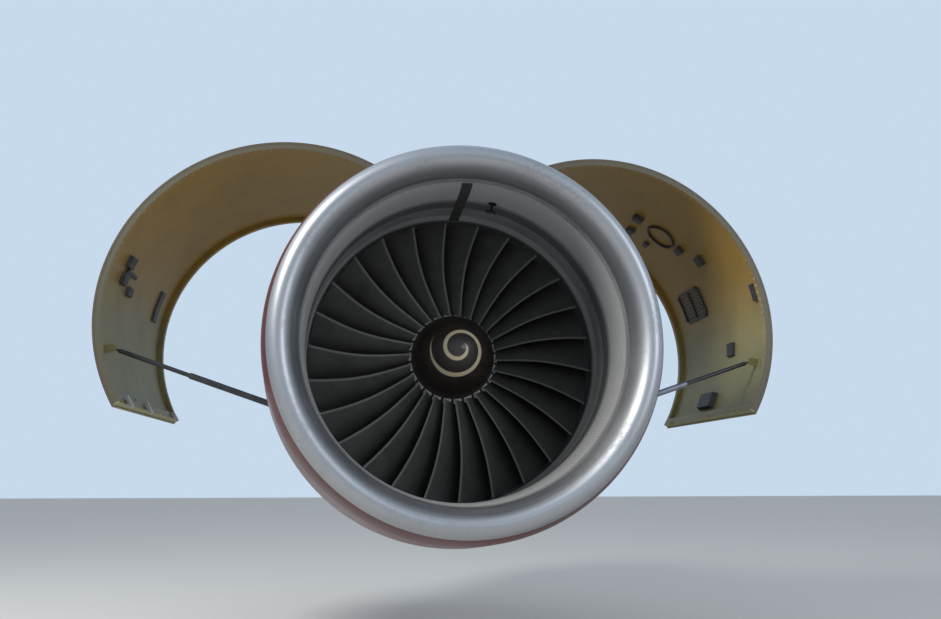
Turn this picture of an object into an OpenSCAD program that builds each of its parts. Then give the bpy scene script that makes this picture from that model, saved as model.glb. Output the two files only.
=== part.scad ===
// High-bypass turbofan engine in its nacelle, hung by its front mount, fan cowl doors open.
// Millimetres. The engine axis runs along +Y towards the rear and the air inlet faces -Y.
// Stations are distances behind the fan's plane. Clock angles start at the top and run
// clockwise as seen from the front.

/* [Mounting] */
// Height of the front mount's top face over the engine axis
mount_z = 1490; // [1470:1:1520]
// Station of the front mount
mount_y = 1400; // [1300:1:1500]
// Distance between the front mount's bolts across the engine
mount_bolts_x = 220; // [180:1:240]
// Distance between the front mount's bolts along the engine
mount_bolts_y = 140; // [110:1:160]
// Radius of the front mount's bolt holes
mount_hole_r = 14; // [10:0.5:18]

/* [Inlet] */
// Distance of the lip's foremost circle ahead of the fan
inlet_len = 1293; // [1250:1:1350]
// Radius of the lip's foremost circle
highlight_r = 1343; // [1320:1:1365]
// Radius of the throat, the narrowest place of the inlet
throat_r = 1198; // [1185:1:1215]
// Distance of the throat ahead of the fan
throat_ahead = 850; // [800:1:900]
// Radius at which the lip skin meets the outer barrel
lip_outer_r = 1492; // [1480:1:1510]
// Distance of the lip's outer joint ahead of the fan
lip_joint_ahead = 880; // [840:1:940]
// Distance of the lip's inner seam ahead of the fan
lip_seam_ahead = 1100; // [1060:1:1150]
// Thickness of the polished lip skin
lip_skin = 6; // [4:0.5:10]
// Thickness of the sound-absorbing inner barrel
liner_wall = 34; // [24:1:44]
// Thickness of the outer barrel's panels
barrel_skin = 14; // [10:1:20]

/* [Fan] */
// Radius of the fan at the blade tips
fan_r = 1235; // [1230:0.5:1238]
// Number of fan blades
blade_count = 26; // [20:1:30]
// Gap between the blade tips and the rubbing track
tip_gap = 5; // [3:0.5:8]
// Radius of the hub line at the blades' front edge
hub_front_r = 361; // [350:1:375]
// Radius of the hub line at the blades' rear edge
hub_rear_r = 492; // [480:1:505]
// Length of the blade section at the root
root_chord = 340; // [300:1:360]
// Length of the blade section at the tip
tip_chord = 470; // [430:1:500]
// Angle of the root section from the engine axis
root_stagger = 24; // [18:1:30]
// Angle of the tip section from the engine axis
tip_stagger = 61; // [56:1:64]
// Thickness of the blade at the root
root_thick = 38; // [28:1:44]
// Thickness of the blade at the tip
tip_thick = 11; // [8:1:16]
// Length of the spinner with its fairing
spinner_len = 520; // [480:1:560]

/* [Fan case] */
// Thickness of the rubbing track and sound liner round the fan
track_wall = 22; // [16:1:30]
// Thickness of the fan case wall
case_wall = 12; // [8:1:18]
// Height of the case ribs
rib_h = 28; // [18:1:34]
// Thickness of the case ribs and flanges
rib_t = 10; // [7:1:14]
// Station of the joint between front and rear fan case
case_joint = 560; // [520:1:600]
// Radius of the fan duct at the rear of the fan case
duct_rear_r = 1200; // [1190:1:1210]
// Number of outlet guide vanes
vane_count = 52; // [44:1:56]
// Length of an outlet guide vane along the axis
vane_len = 190; // [160:1:220]

/* [Fan cowl doors] */
// Outer radius of the closed doors
cowl_r = 1578; // [1572:1:1590]
// Station of the doors' front edge
door_front = 38; // [30:1:50]
// Length of the doors
door_len = 2090; // [2060:1:2100]
// Thickness of the door panel
door_skin = 16; // [12:1:22]
// Clock angle of the doors' upper edge
door_top_clock = 14.8; // [14.5:0.1:16]
// Gap between the two doors at the bottom
door_gap = 8; // [5:0.5:14]
// Distance of the hinge line from the engine's middle plane
hinge_x = 388; // [384:1:392]
// Height of the hinge line over the engine axis
hinge_z = 1464; // [1458:1:1470]
// Angle by which the doors stand open
open_angle = 58.5; // [50:0.5:60]
// Depth of the door's frames
frame_h = 46; // [30:1:56]
// Width of the door's frames
frame_w = 60; // [40:1:80]
// Radius of the hinge pins
hinge_pin_r = 9; // [7:0.5:11]

/* [Hold-open rods] */
// Radius of the rod's pivot on the fan case, from the engine axis
rod_foot_r = 1440; // [1425:1:1450]
// Clock angle of the rod's foot
rod_foot_clock = 108.4; // [107:0.1:110]
// Radius of the rod's fitting on the closed door
rod_head_r = 1500; // [1490:1:1506]
// Clock angle of the rod's fitting on the closed door
rod_head_clock = 159.9; // [158:0.1:161]
// Station of the rods
rod_y = 300; // [260:1:340]
// Length of the rod's outer tube
rod_tube_len = 930; // [900:1:960]
// Outer radius of the rod's tube
rod_tube_r = 27; // [22:1:30]
// Radius of the sliding inner rod
rod_r = 19; // [15:0.5:19.5]

/* [Reverser] */
// Length of the thrust reverser
reverser_len = 1720; // [1690:1:1740]
// Outer radius at the reverser's rear end
reverser_rear_r = 1300; // [1285:1:1315]
// Radius of the fan duct at the reverser's rear end
reverser_duct_r = 985; // [970:1:1000]
// Half the width of a pivoting door
pivot_door_w = 535; // [500:1:550]
// Radius of the pivoting doors' hinge pins
pivot_pin_r = 22; // [16:1:28]

/* [Core] */
// Largest radius of the core cowl
core_cowl_r = 720; // [712:1:724]
// Outer radius of the low-pressure shaft
lp_shaft_r = 84; // [78:1:86]
// Outer radius of the intermediate-pressure shaft
ip_shaft_r = 112; // [108:1:114]
// Outer radius of the high-pressure shaft
high_shaft_r = 145; // [140:1:150]
// Wall of the three shafts
shaft_wall = 18; // [14:1:20]
// Number of lobes of the exhaust mixer
lobe_count = 18; // [14:1:22]
// Length of the common exhaust nozzle
nozzle_len = 840; // [800:1:900]
// Outer radius of the nozzle's rear edge
nozzle_exit_r = 968; // [950:1:985]

/* [Hidden] */
$fn = 150;

// Clearances: a seat between still parts, a running fit and a gap between moving panels
seat = 0.3;
run = 0.05;
panel_gap = 6;

// Radii and stations that several pieces share
track_r = fan_r + tip_gap;
case_in_r = track_r + track_wall + seat;
case_out_r = case_in_r + case_wall;
flange_r = case_out_r + rib_h;
inlet_rear = -rib_t;
reverser_front = door_front + door_len + panel_gap;
case_rear = reverser_front - seat;
reverser_rear = reverser_front + reverser_len;
nozzle_front = reverser_rear + panel_gap;
nozzle_rear = nozzle_front + nozzle_len;
open_gap_clock = asin(door_gap / 2 / cowl_r);

// Core stations, from the fan to the rear mount
core_front = 330;
vane_front = case_joint + 70;
core_lip_r = 640;
ip_front = 540;
ip_rear = 1150;
high_front = 1345;
high_rear = 1740;
burner_rear = 2115;
high_turbine_y = 2135;
bearing_wall_y = 2215;
ip_turbine_y = 2245;
lp_turbine_y = 2345;
lp_turbine_rear = 2800;
tail_front = 2815;
tail_rear = 3040;
mixer_rear = 3520;
cone_tip = 3900;
core_blades = 22;

function mix(a, b, t) = a + (b - a) * t;
function smooth(t) = (1 - cos(180 * t)) / 2;
function flip(p) = [for (i = [len(p) - 1:-1:0]) p[i]];

// Unit normal of an outline at point i, on its right-hand side
function right_of(p, i) =
    let (a = p[max(i - 1, 0)], b = p[min(i + 1, len(p) - 1)], d = (b - a) / norm(b - a))
    [d[1], -d[0]];

// A closed wall outline: the line and its copy at distance t to the right
function wall(p, t) = concat(p, flip([for (i = [0:len(p) - 1]) p[i] + t * right_of(p, i)]));

// A wall whose second line lies at distance t straight towards the axis
function sleeve(p, t) = concat(p, flip([for (q = p) [q[0] - t, q[1]]]));

module on_axis() {
    translate([0, -mount_y, -mount_z])
        children();
}

// A full turn of an outline of [radius, station] points
module turned(points) {
    on_axis()
        rotate([-90, 0, 0])
            rotate_extrude()
                polygon(points);
}

// The same outline turned only from one clock angle to another
module sector(points, from, to) {
    on_axis()
        rotate([0, from - 90, 0])
            rotate([-90, 0, 0])
                rotate_extrude(angle = to - from)
                    polygon(points);
}

// Local frame on the engine: x along the circle, y to the rear, z away from the axis
module at_clock(clock, station, radius) {
    on_axis()
        rotate([0, clock, 0])
            translate([0, station, radius])
                children();
}

module drum(r, from, to) {
    on_axis()
        translate([0, from, 0])
            rotate([-90, 0, 0])
                cylinder(r = r, h = to - from);
}

module mirrored() {
    mirror([1, 0, 0])
        children();
}

// Inlet

function nose_outer(a) = [
    highlight_r + (lip_outer_r - highlight_r) * sin(a),
    -inlet_len + (inlet_len - lip_joint_ahead) * (1 - cos(a))
];
function nose_inner(a) = [
    highlight_r - (highlight_r - throat_r) * sin(a),
    -inlet_len + (inlet_len - throat_ahead) * (1 - cos(a))
];
seam_angle = acos(1 - (inlet_len - lip_seam_ahead) / (inlet_len - throat_ahead));

lip_line = concat(
    [for (i = [8:-1:1]) nose_inner(seam_angle * i / 8)],
    [for (i = [0:9]) nose_outer(10 * i)]
);
inner_line = concat(
    [for (i = [0:3]) nose_inner(mix(seam_angle, 90, i / 3))],
    [for (i = [1:6]) [mix(throat_r, track_r, smooth(i / 6)), mix(-throat_ahead, inlet_rear, i / 6)]]
);
outer_line = [
    for (i = [0:6])
        [mix(lip_outer_r, cowl_r, sin(90 * i / 6)), mix(-lip_joint_ahead, door_front - panel_gap, i / 6)]
];

module inlet_lip() {
    color("lightsteelblue")
        turned(wall(lip_line, lip_skin));
}

module inlet_outer_barrel() {
    bulkhead = 6;
    front_in = nose_inner(seam_angle);
    front_low = [front_in[0] + liner_wall + seat, front_in[1] + 40];
    front_high = [lip_outer_r - barrel_skin / 2, -lip_joint_ahead + 2];
    color("firebrick") {
        turned(sleeve(outer_line, barrel_skin));
        turned([front_high, front_high + [0, bulkhead], front_low + [0, bulkhead], front_low]);
        turned([
            [track_r + liner_wall + seat, inlet_rear - 60],
            [outer_line[5][0] - barrel_skin - seat, inlet_rear - 60],
            [outer_line[5][0] - barrel_skin - seat, inlet_rear - 60 + bulkhead],
            [track_r + liner_wall + seat, inlet_rear - 60 + bulkhead]
        ]);
    }
}

module inlet_liner() {
    flange = [
        [flange_r, inlet_rear - rib_t],
        [flange_r, inlet_rear]
    ];
    color("slategray")
        turned(concat(
            inner_line,
            flip(flange),
            [[track_r + liner_wall, inlet_rear - rib_t]],
            flip([
                for (i = [0:len(inner_line) - 2])
                    inner_line[i] + [liner_wall, 0]
            ])
        ));
}

module inlet_probe() {
    station = -700;
    clock = 12;
    mast_h = 70;
    wall_r = mix(throat_r, track_r, smooth((throat_ahead + station) / (throat_ahead + inlet_rear)));
    color("dimgray")
        at_clock(clock, station, wall_r - mast_h - 4) {
            cylinder(r = 9, h = mast_h);
            translate([0, 0, mast_h - 6])
                cylinder(r = 34, h = 6);
            translate([-45, 0, 0])
                rotate([0, 90, 0])
                    cylinder(r = 13, h = 90);
        }
}

module inlet_bolts() {
    bolt_count = 36;
    color("gainsboro")
        for (i = [0:bolt_count - 1])
            at_clock((i + 0.5) * 360 / bolt_count, inlet_rear - rib_t - 9, flange_r - 13)
                rotate([-90, 0, 0])
                    cylinder(r = 9, h = 9, $fn = 6);
}

// Fan case

// Ribs on an outline: each station in the list raises the wall from r to r + h
function ribs(stations, r, h) = [
    for (s = stations)
        each [[r, s], [r + h, s], [r + h, s + rib_t], [r, s + rib_t]]
];

front_wall_r = case_out_r + 6;

module fan_case() {
    rib_stations = [130, 210, 380, 460];
    color("silver") {
        turned(concat(
            [[case_in_r, inlet_rear], [flange_r, inlet_rear], [flange_r, inlet_rear + rib_t]],
            [[front_wall_r, inlet_rear + rib_t]],
            ribs(rib_stations, front_wall_r, rib_h - 12),
            [[front_wall_r, case_joint - rib_t], [flange_r, case_joint - rib_t], [flange_r, case_joint]],
            [[case_in_r, case_joint]]
        ));
        rod_bracket();
        mirrored()
            rod_bracket();
    }
}

module fan_track_liner() {
    color("dimgray")
        turned([
            [track_r, inlet_rear],
            [track_r + track_wall, inlet_rear],
            [track_r + track_wall, case_joint],
            [track_r, case_joint]
        ]);
}

rear_wall_r = case_in_r + 4;

module rear_fan_case() {
    rib_stations = [700, 860, 1040, 1310, 1500, 1700, 1900];
    color("silver")
        difference() {
            turned(concat(
                [[track_r, case_joint], [flange_r, case_joint], [flange_r, case_joint + rib_t]],
                [[rear_wall_r, case_joint + rib_t]],
                ribs(rib_stations, rear_wall_r, rib_h),
                [[rear_wall_r, case_rear - rib_t], [flange_r, case_rear - rib_t], [flange_r, case_rear]],
                [[duct_rear_r, case_rear], [track_r, vane_front + vane_len + 60]]
            ));
            drive_bore(duct_rear_r - 40, flange_r + 10, drive_r + 6);
        }
}

// Outline of a thin vane across the airflow, x sideways and y to the rear
function vane_outline(length, thick, bow) = let (n = 5) concat(
    [for (i = [0:n]) [bow * sin(180 * i / n) + thick / 2 * sin(180 * i / n), length * i / n]],
    [for (i = [n - 1:-1:1]) [bow * sin(180 * i / n) - thick / 2 * sin(180 * i / n), length * i / n]]
);

module outlet_guide_vanes() {
    sag = 2;
    low = core_lip_r + seat + sag;
    color("slategray")
        for (i = [0:vane_count - 1])
            at_clock(i * 360 / vane_count, vane_front, low)
                linear_extrude(track_r - seat - sag - low)
                    polygon(vane_outline(vane_len, 12, 22));
}

fairing_seam = vane_front + vane_len + 30;
core_seam = reverser_front + 6;

module core_fairing() {
    skin = 12;
    mid_r = mix(core_lip_r, core_cowl_r, 0.6);
    mid_y = mix(fairing_seam, core_seam, 0.4);
    color("lightslategray")
        difference() {
            turned([
                [core_lip_r, fairing_seam],
                [mid_r, mid_y],
                [core_cowl_r, core_seam],
                [core_cowl_r - skin, core_seam],
                [mid_r - skin, mid_y],
                [core_lip_r - skin, fairing_seam]
            ]);
            drive_bore(core_lip_r - 100, core_cowl_r + 100, drive_tube_r + seat);
        }
}

module intermediate_case() {
    strut_count = 10;
    hub_r = 330;
    lip_t = 20;
    case_back = ip_front - 2;
    color("lightslategray") {
        turned([
            [core_lip_r - 12, core_front],
            [core_lip_r, core_front + 60],
            [core_lip_r, fairing_seam],
            [core_lip_r - lip_t, fairing_seam],
            [core_lip_r - lip_t, case_back - 20],
            [core_lip_r - 26, core_front + 30]
        ]);
        turned([
            [hub_r, core_front + 40],
            [hub_r, case_back],
            [hub_r - 24, case_back],
            [hub_r - 24, core_front + 130],
            [lp_race_r, core_front + 130],
            [lp_race_r, core_front + 100],
            [hub_r - 24, core_front + 100],
            [hub_r - 24, core_front + 40]
        ]);
        for (i = [0:strut_count - 1])
            at_clock((i + 0.5) * 360 / strut_count, core_front + 70, hub_r - 4)
                linear_extrude(core_lip_r - lip_t - hub_r + 8)
                    polygon(vane_outline(120, 34, 0));
    }
}

// Fan rotor

hub_front = -56;
hub_back = 236;
fairing_front = hub_front - 66;
function hub_line(y) = mix(hub_front_r, hub_rear_r, (y - hub_front) / (hub_back - hub_front));

spinner_base_r = hub_front_r - 20;
spinner_tip = hub_front - spinner_len;
function spinner_r(t) = spinner_base_r * pow(sin(90 * t), 0.92);
spinner_line = [
    for (i = [0:12])
        let (t = i / 12)
        [spinner_r(t), mix(spinner_tip, fairing_front, 1 - cos(90 * t) * (1 - 0.35 * t))]
];

module spinner() {
    color("black")
        turned(concat(spinner_line, [[0, fairing_front]]));
}

module spinner_fairing() {
    color("dimgray")
        turned([
            [0, fairing_front],
            [spinner_base_r, fairing_front],
            [hub_front_r, hub_front],
            [hub_front_r - 60, hub_front],
            [0, hub_front]
        ]);
}

module fan_disc() {
    color("gray")
        turned([
            [lp_shaft_r + run, hub_front],
            [hub_front_r - 34, hub_front],
            [hub_front_r - 34, hub_front + 20],
            [hub_rear_r - 56, hub_back - 10],
            [hub_rear_r - 120, hub_back - 10],
            [250, 120],
            [lp_shaft_r + 60, 150],
            [lp_shaft_r + run, 150]
        ]);
}

module annulus_fillers() {
    color("darkgray")
        turned([
            [hub_front_r - 33, hub_front],
            [hub_line(hub_front), hub_front],
            [hub_line(hub_back), hub_back],
            [hub_rear_r - 55, hub_back],
            [hub_rear_r - 55, hub_back - 10],
            [hub_front_r - 33, hub_front + 20 - seat]
        ]);
}

// Fan blades: a twisted aerofoil whose sections run from the hub line to the tip

blade_spans = 7;
blade_points = 12;
blade_turn = -1;
// Height of the root corners over the hub, which keeps the flat root faces clear of it
root_rise = 1.9;
function along(j) = let (h = blade_points / 2) j <= h ? j / h : (blade_points - j) / h;
function spread(s) = (1 - cos(180 * s)) / 2;
function blade_point(t, j) =
    let (
        s = spread(along(j)),
        chord = mix(root_chord, tip_chord, t),
        stagger = mix(root_stagger, tip_stagger, pow(t, 0.8)),
        thick = mix(root_thick, tip_thick, pow(t, 0.6)),
        bow = mix(46, 16, t),
        side = (j < blade_points / 2 ? 0.5 : -0.5) * thick * sin(180 * s),
        across = bow * sin(180 * s) + side,
        front = mix(hub_front + 4, 14, t) + 26 * sin(180 * t),
        sweep = 34 * sin(180 * t) - 40 * t * t,
        y = front + s * chord * cos(stagger) - across * sin(stagger),
        x = sweep + (s - 0.5) * chord * sin(stagger) + across * cos(stagger),
        r_tip = fan_r,
        r_root = hub_line(y) + root_rise,
        r = mix(r_root, r_tip, t),
        lean = x / r * 180 / PI
    )
    [blade_turn * r * sin(lean), y, r * cos(lean)];

module fan_blade() {
    n = blade_points;
    last = n * blade_spans;
    points = [
        for (k = [0:blade_spans])
            for (j = [0:n - 1])
                blade_point(k / blade_spans, j)
    ];
    sides = [
        for (k = [0:blade_spans - 1])
            for (j = [0:n - 1])
                let (a = k * n + j, b = k * n + (j + 1) % n)
                each [[a, b, b + n], [a, b + n, a + n]]
    ];
    caps = [
        for (a = [0:n / 2 - 1])
            let (b = a + 1, c = (n - a) % n, d = n - a - 1)
            each concat(
                a == c ? [] : [[a, c, b], [last + a, last + b, last + c]],
                b == d ? [] : [[b, c, d], [last + b, last + d, last + c]]
            )
    ];
    polyhedron(points, concat(sides, caps));
}

module fan_blades() {
    color("darkslategray")
        for (i = [0:blade_count - 1])
            at_clock(i * 360 / blade_count, 0, 0)
                fan_blade();
}

// Core rotors

// One row of blades as a toothed ring, cut straight along the axis
module blade_row(inner, outer, from, to, count) {
    half = 360 / count / 7;
    low = inner - 3;
    on_axis()
        translate([0, from, 0])
            rotate([-90, 0, 0])
                linear_extrude(to - from)
                    difference() {
                        polygon([
                            for (i = [0:count - 1])
                                let (a = i * 360 / count, b = a + 180 / count)
                                each [
                                    [low * cos(a - 2 * half), low * sin(a - 2 * half)],
                                    [low * cos(a - half), low * sin(a - half)],
                                    [outer * cos(a - half / 2), outer * sin(a - half / 2)],
                                    [outer * cos(a + half / 2), outer * sin(a + half / 2)],
                                    [low * cos(a + half), low * sin(a + half)],
                                    [low * cos(b), low * sin(b)]
                                ]
                        ]);
                        circle(r = inner - 12);
                    }
}

function ip_out(y) = mix(590, 420, (y - ip_front) / (ip_rear - ip_front));
function ip_in(y) = mix(400, 330, (y - ip_front) / (ip_rear - ip_front));
function high_out(y) = mix(350, 300, (y - high_front) / (high_rear - high_front));
function high_in(y) = mix(270, 255, (y - high_front) / (high_rear - high_front));
function lp_out(y) = mix(470, 600, (y - lp_turbine_y) / (lp_turbine_rear - lp_turbine_y));
lp_in = 350;
row_gap = 3;

module ip_compressor() {
    stages = 8;
    pitch = (ip_rear - ip_front) / stages;
    color("lightsteelblue") {
        turned([
            [ip_shaft_r - shaft_wall, ip_front],
            [ip_shaft_r, ip_front],
            [ip_shaft_r, ip_front + 40],
            [ip_in(ip_front) - 40, ip_front + 120],
            [ip_in(ip_front) - 30, ip_front + 8],
            [ip_in(ip_front), ip_front + 8],
            [ip_in(ip_rear), ip_rear - 6],
            [ip_in(ip_rear) - 30, ip_rear - 6],
            [ip_in(ip_rear) - 40, ip_rear - 160],
            [ip_shaft_r, ip_rear - 120],
            [ip_shaft_r, ip_turbine_y + 70],
            [ip_shaft_r - shaft_wall, ip_turbine_y + 70]
        ]);
        for (i = [0:stages - 1])
            let (y = ip_front + 12 + i * pitch)
            blade_row(ip_in(y), ip_out(y + pitch / 2) - row_gap, y, y + pitch * 0.42, core_blades);
    }
}

module ip_turbine() {
    color("peru") {
        turned([
            [ip_shaft_r + run, ip_turbine_y + 4],
            [180, ip_turbine_y + 4],
            [200, ip_turbine_y + 24],
            [320, ip_turbine_y + 24],
            [lp_in, ip_turbine_y + 4],
            [lp_in, ip_turbine_y + 68],
            [320, ip_turbine_y + 48],
            [200, ip_turbine_y + 48],
            [180, ip_turbine_y + 68],
            [ip_shaft_r + run, ip_turbine_y + 68]
        ]);
        let (y = ip_turbine_y + 12)
        blade_row(lp_in, turbine_in(y) - row_gap, y, y + 46, core_blades);
    }
}

// Bevel gear on the high-pressure shaft that turns the radial drive shaft
gear_y = high_front - 65;
gear_r = high_shaft_r + 42;

module high_compressor() {
    stages = 6;
    pitch = (high_rear - high_front) / stages;
    color("lightsteelblue") {
        turned([
            [high_shaft_r - shaft_wall, gear_y],
            [gear_r, gear_y],
            [gear_r - 10, gear_y + 10],
            [high_shaft_r, gear_y + 10],
            [high_shaft_r, high_front + 30],
            [high_in(high_front) - 20, high_front + 60],
            [high_in(high_front) - 20, high_front + 4],
            [high_in(high_front), high_front + 4],
            [high_in(high_rear), high_rear],
            [high_in(high_rear) - 20, high_rear],
            [high_shaft_r, high_rear + 120],
            [high_shaft_r, bearing_wall_y - 6],
            [high_shaft_r - shaft_wall, bearing_wall_y - 6]
        ]);
        for (i = [0:stages - 1])
            let (y = high_front + 8 + i * pitch)
            blade_row(high_in(y), high_out(y + pitch / 2) - row_gap, y, y + pitch * 0.42, core_blades);
    }
}

module high_turbine() {
    color("peru") {
        turned([
            [high_shaft_r + run, high_turbine_y],
            [200, high_turbine_y],
            [220, high_turbine_y + 16],
            [320, high_turbine_y + 16],
            [lp_in, high_turbine_y],
            [lp_in, high_turbine_y + 52],
            [320, high_turbine_y + 36],
            [220, high_turbine_y + 36],
            [200, high_turbine_y + 52],
            [high_shaft_r + run, high_turbine_y + 52]
        ]);
        let (y = high_turbine_y + 8)
        blade_row(lp_in, turbine_in(high_turbine_y) - row_gap, y, y + 36, core_blades);
    }
}

module lp_shaft() {
    color("gainsboro")
        turned([
            [0, hub_front],
            [lp_shaft_r, hub_front],
            [lp_shaft_r, tail_rear - 60],
            [lp_shaft_r - shaft_wall, tail_rear - 60],
            [lp_shaft_r - shaft_wall, 190],
            [0, 150]
        ]);
}

module lp_turbine() {
    stages = 4;
    pitch = (lp_turbine_rear - lp_turbine_y) / stages;
    color("peru") {
        turned([
            [lp_in - 24, lp_turbine_y + 8],
            [lp_in, lp_turbine_y + 8],
            [lp_in, lp_turbine_rear - 10],
            [lp_in - 24, lp_turbine_rear - 10],
            [lp_in - 40, lp_turbine_rear - 70],
            [lp_shaft_r + 40, lp_turbine_rear - 40],
            [lp_shaft_r + run, lp_turbine_rear - 40],
            [lp_shaft_r + run, lp_turbine_rear - 110],
            [lp_shaft_r + 40, lp_turbine_rear - 110],
            [lp_in - 24, lp_turbine_rear - 150]
        ]);
        for (i = [0:stages - 1])
            let (y = lp_turbine_y + 14 + i * pitch)
            blade_row(lp_in, lp_out(y) - row_gap, y, y + pitch * 0.42, core_blades + 4);
    }
}

// Core cases

// One row of still vanes that reach inwards from a case
module stator_row(inner, outer, from, to, count) {
    for (i = [0:count - 1])
        at_clock(i * 360 / count, from, inner)
            translate([-2, 0, 0])
                cube([4, to - from, outer + 4 - inner]);
}

// Radii of the bearing seats, and place of the shaft that drives the gearbox
lp_race_r = lp_shaft_r + 60;
ip_race_r = ip_shaft_r + 60;
high_race_r = high_shaft_r + 60;
high_rear_race_r = high_shaft_r + 32;
ip_rear_race_r = ip_shaft_r + 40;
tail_race_r = lp_shaft_r + 46;
drive_y = high_front - 105;
drive_r = 18;
drive_tube_r = 52;

module drive_bore(from, to, r) {
    at_clock(180, drive_y, from)
        cylinder(r = r, h = to - from);
}

module compressor_case() {
    stages = 8;
    pitch = (ip_rear - ip_front) / stages;
    strut_count = 8;
    join = high_front - 20;
    tube_top = track_r - 20;
    color("lightslategray")
        difference() {
            union() {
                compressor_walls(join);
                drive_bore(ip_out(ip_rear) + 4, tube_top, drive_tube_r);
                for (i = [0:strut_count - 1])
                    at_clock(i * 360 / strut_count, ip_rear + 34, ip_in(ip_rear) - 60)
                        linear_extrude(ip_out(ip_rear) - ip_in(ip_rear) + 64)
                            polygon(vane_outline(112, i == strut_count / 2 ? 70 : 24, 0));
                for (i = [0:stages - 2])
                    let (y = ip_front + 12 + (i + 0.5) * pitch)
                    stator_row(ip_in(y) + row_gap + 6, ip_out(y), y, y + pitch * 0.34, 12);
            }
            drive_bore(high_shaft_r + 20, tube_top + 1, drive_r + 6);
        }
}

module compressor_walls(join) {
    turned([
        [core_lip_r - 20 - seat, ip_front - 2],
        [core_lip_r - 20 - seat, ip_front + 14],
        [ip_out(ip_front) + 14, ip_front + 14],
        [ip_out(ip_rear) + 12, ip_rear + 4],
        [ip_out(ip_rear) + 12, join - 12],
        [ip_out(ip_rear) + 40, join - 12],
        [ip_out(ip_rear) + 40, join],
        [high_out(high_front), join],
        [ip_out(ip_rear), ip_rear + 4],
        [ip_out(ip_front), ip_front],
        [ip_out(ip_front), ip_front - 2]
    ]);
    turned([
        [ip_race_r, ip_rear + 6],
        [ip_in(ip_rear), ip_rear + 6],
        [high_in(high_front), join],
        [high_race_r, join],
        [high_race_r, join - 36],
        [high_in(high_front) - 12, join - 36],
        [ip_in(ip_rear) - 30, ip_rear + 22],
        [ip_race_r, ip_rear + 22]
    ]);
}

burner_r = 500;
burner_in_r = burner_r - 12;
dome_y = high_rear + 90;

module combustor_case() {
    color("tan")
        turned([
            [high_out(high_front), high_front - 20],
            [high_out(high_front) + 60, high_front - 20],
            [high_out(high_front) + 60, high_front - 8],
            [high_out(high_front) + 12, high_front - 8],
            [high_out(high_rear) + 14, high_rear - 20],
            [burner_r - 6, high_rear + 30],
            [burner_r, burner_rear - 14],
            [burner_r + 24, burner_rear - 14],
            [burner_r + 24, burner_rear],
            [burner_in_r, burner_rear],
            [burner_in_r - 4, high_rear + 36],
            [high_out(high_rear), high_rear - 16]
        ]);
}

// Radius at which the combustor hands over to the turbine, and bore of the turbine case
liner_exit_r = 440;
turbine_bore = [
    [burner_rear, liner_exit_r + seat],
    [high_turbine_y, 434],
    [bearing_wall_y, 446],
    [lp_turbine_y, lp_out(lp_turbine_y)],
    [lp_turbine_rear, lp_out(lp_turbine_rear)]
];
function turbine_in(y) = lookup(y, turbine_bore);

module combustor_liner() {
    outer = 452;
    inner = 330;
    skin = 8;
    color("sienna") {
        turned([
            [outer - 30, dome_y],
            [outer, dome_y + 40],
            [outer, burner_rear - 60],
            [liner_exit_r, burner_rear],
            [liner_exit_r - skin, burner_rear],
            [outer - skin, burner_rear - 64],
            [outer - skin, dome_y + 44],
            [outer - 34, dome_y + 10],
            [inner + 34, dome_y + 10],
            [inner + skin, dome_y + 44],
            [inner + skin, burner_rear - 64],
            [345 + skin, burner_rear],
            [345, burner_rear],
            [inner, burner_rear - 60],
            [inner, dome_y + 40],
            [inner + 30, dome_y]
        ]);
    }
}

module fuel_nozzles() {
    nozzle_count = 24;
    head_len = 44;
    ring_r = 391;
    color("gainsboro")
        for (i = [0:nozzle_count - 1])
            at_clock(i * 360 / nozzle_count, 0, 0) {
                translate([0, dome_y - head_len, ring_r])
                    rotate([-90, 0, 0])
                        cylinder(r = 14, h = head_len - seat);
                translate([0, dome_y - head_len + 12, ring_r])
                    cylinder(r = 7, h = burner_in_r - 4 - ring_r - seat);
            }
}

module turbine_case() {
    stages = 4;
    pitch = (lp_turbine_rear - lp_turbine_y) / stages;
    support_vanes = 16;
    color("darkkhaki") {
        turned(concat(
            [
                [burner_r + 24, burner_rear],
                [burner_r + 24, burner_rear + 14],
                [turbine_in(high_turbine_y) + 30, burner_rear + 14],
                [turbine_in(lp_turbine_y) + 14, lp_turbine_y - 20],
                [turbine_in(lp_turbine_rear) + 16, lp_turbine_rear],
                [turbine_in(lp_turbine_rear) + 40, lp_turbine_rear],
                [turbine_in(lp_turbine_rear) + 40, tail_front],
                [turbine_in(lp_turbine_rear), tail_front]
            ],
            flip([for (b = turbine_bore) [b[1], b[0]]])
        ));
        turned([
            [high_rear_race_r, bearing_wall_y - 23],
            [high_rear_race_r + 12, bearing_wall_y - 23],
            [high_rear_race_r + 12, bearing_wall_y - 8],
            [lp_in, bearing_wall_y - 8],
            [lp_in, bearing_wall_y + 12],
            [ip_rear_race_r, bearing_wall_y + 12],
            [ip_rear_race_r, bearing_wall_y - 4],
            [high_rear_race_r, bearing_wall_y - 4]
        ]);
        stator_row(lp_in - 4, turbine_in(bearing_wall_y), bearing_wall_y - 8, bearing_wall_y + 12, support_vanes);
        for (i = [0:stages - 2])
            let (y = lp_turbine_y + 14 + (i + 0.5) * pitch)
            stator_row(lp_in + row_gap + 6, lp_out(y), y, y + pitch * 0.34, 12);
    }
}

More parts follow.
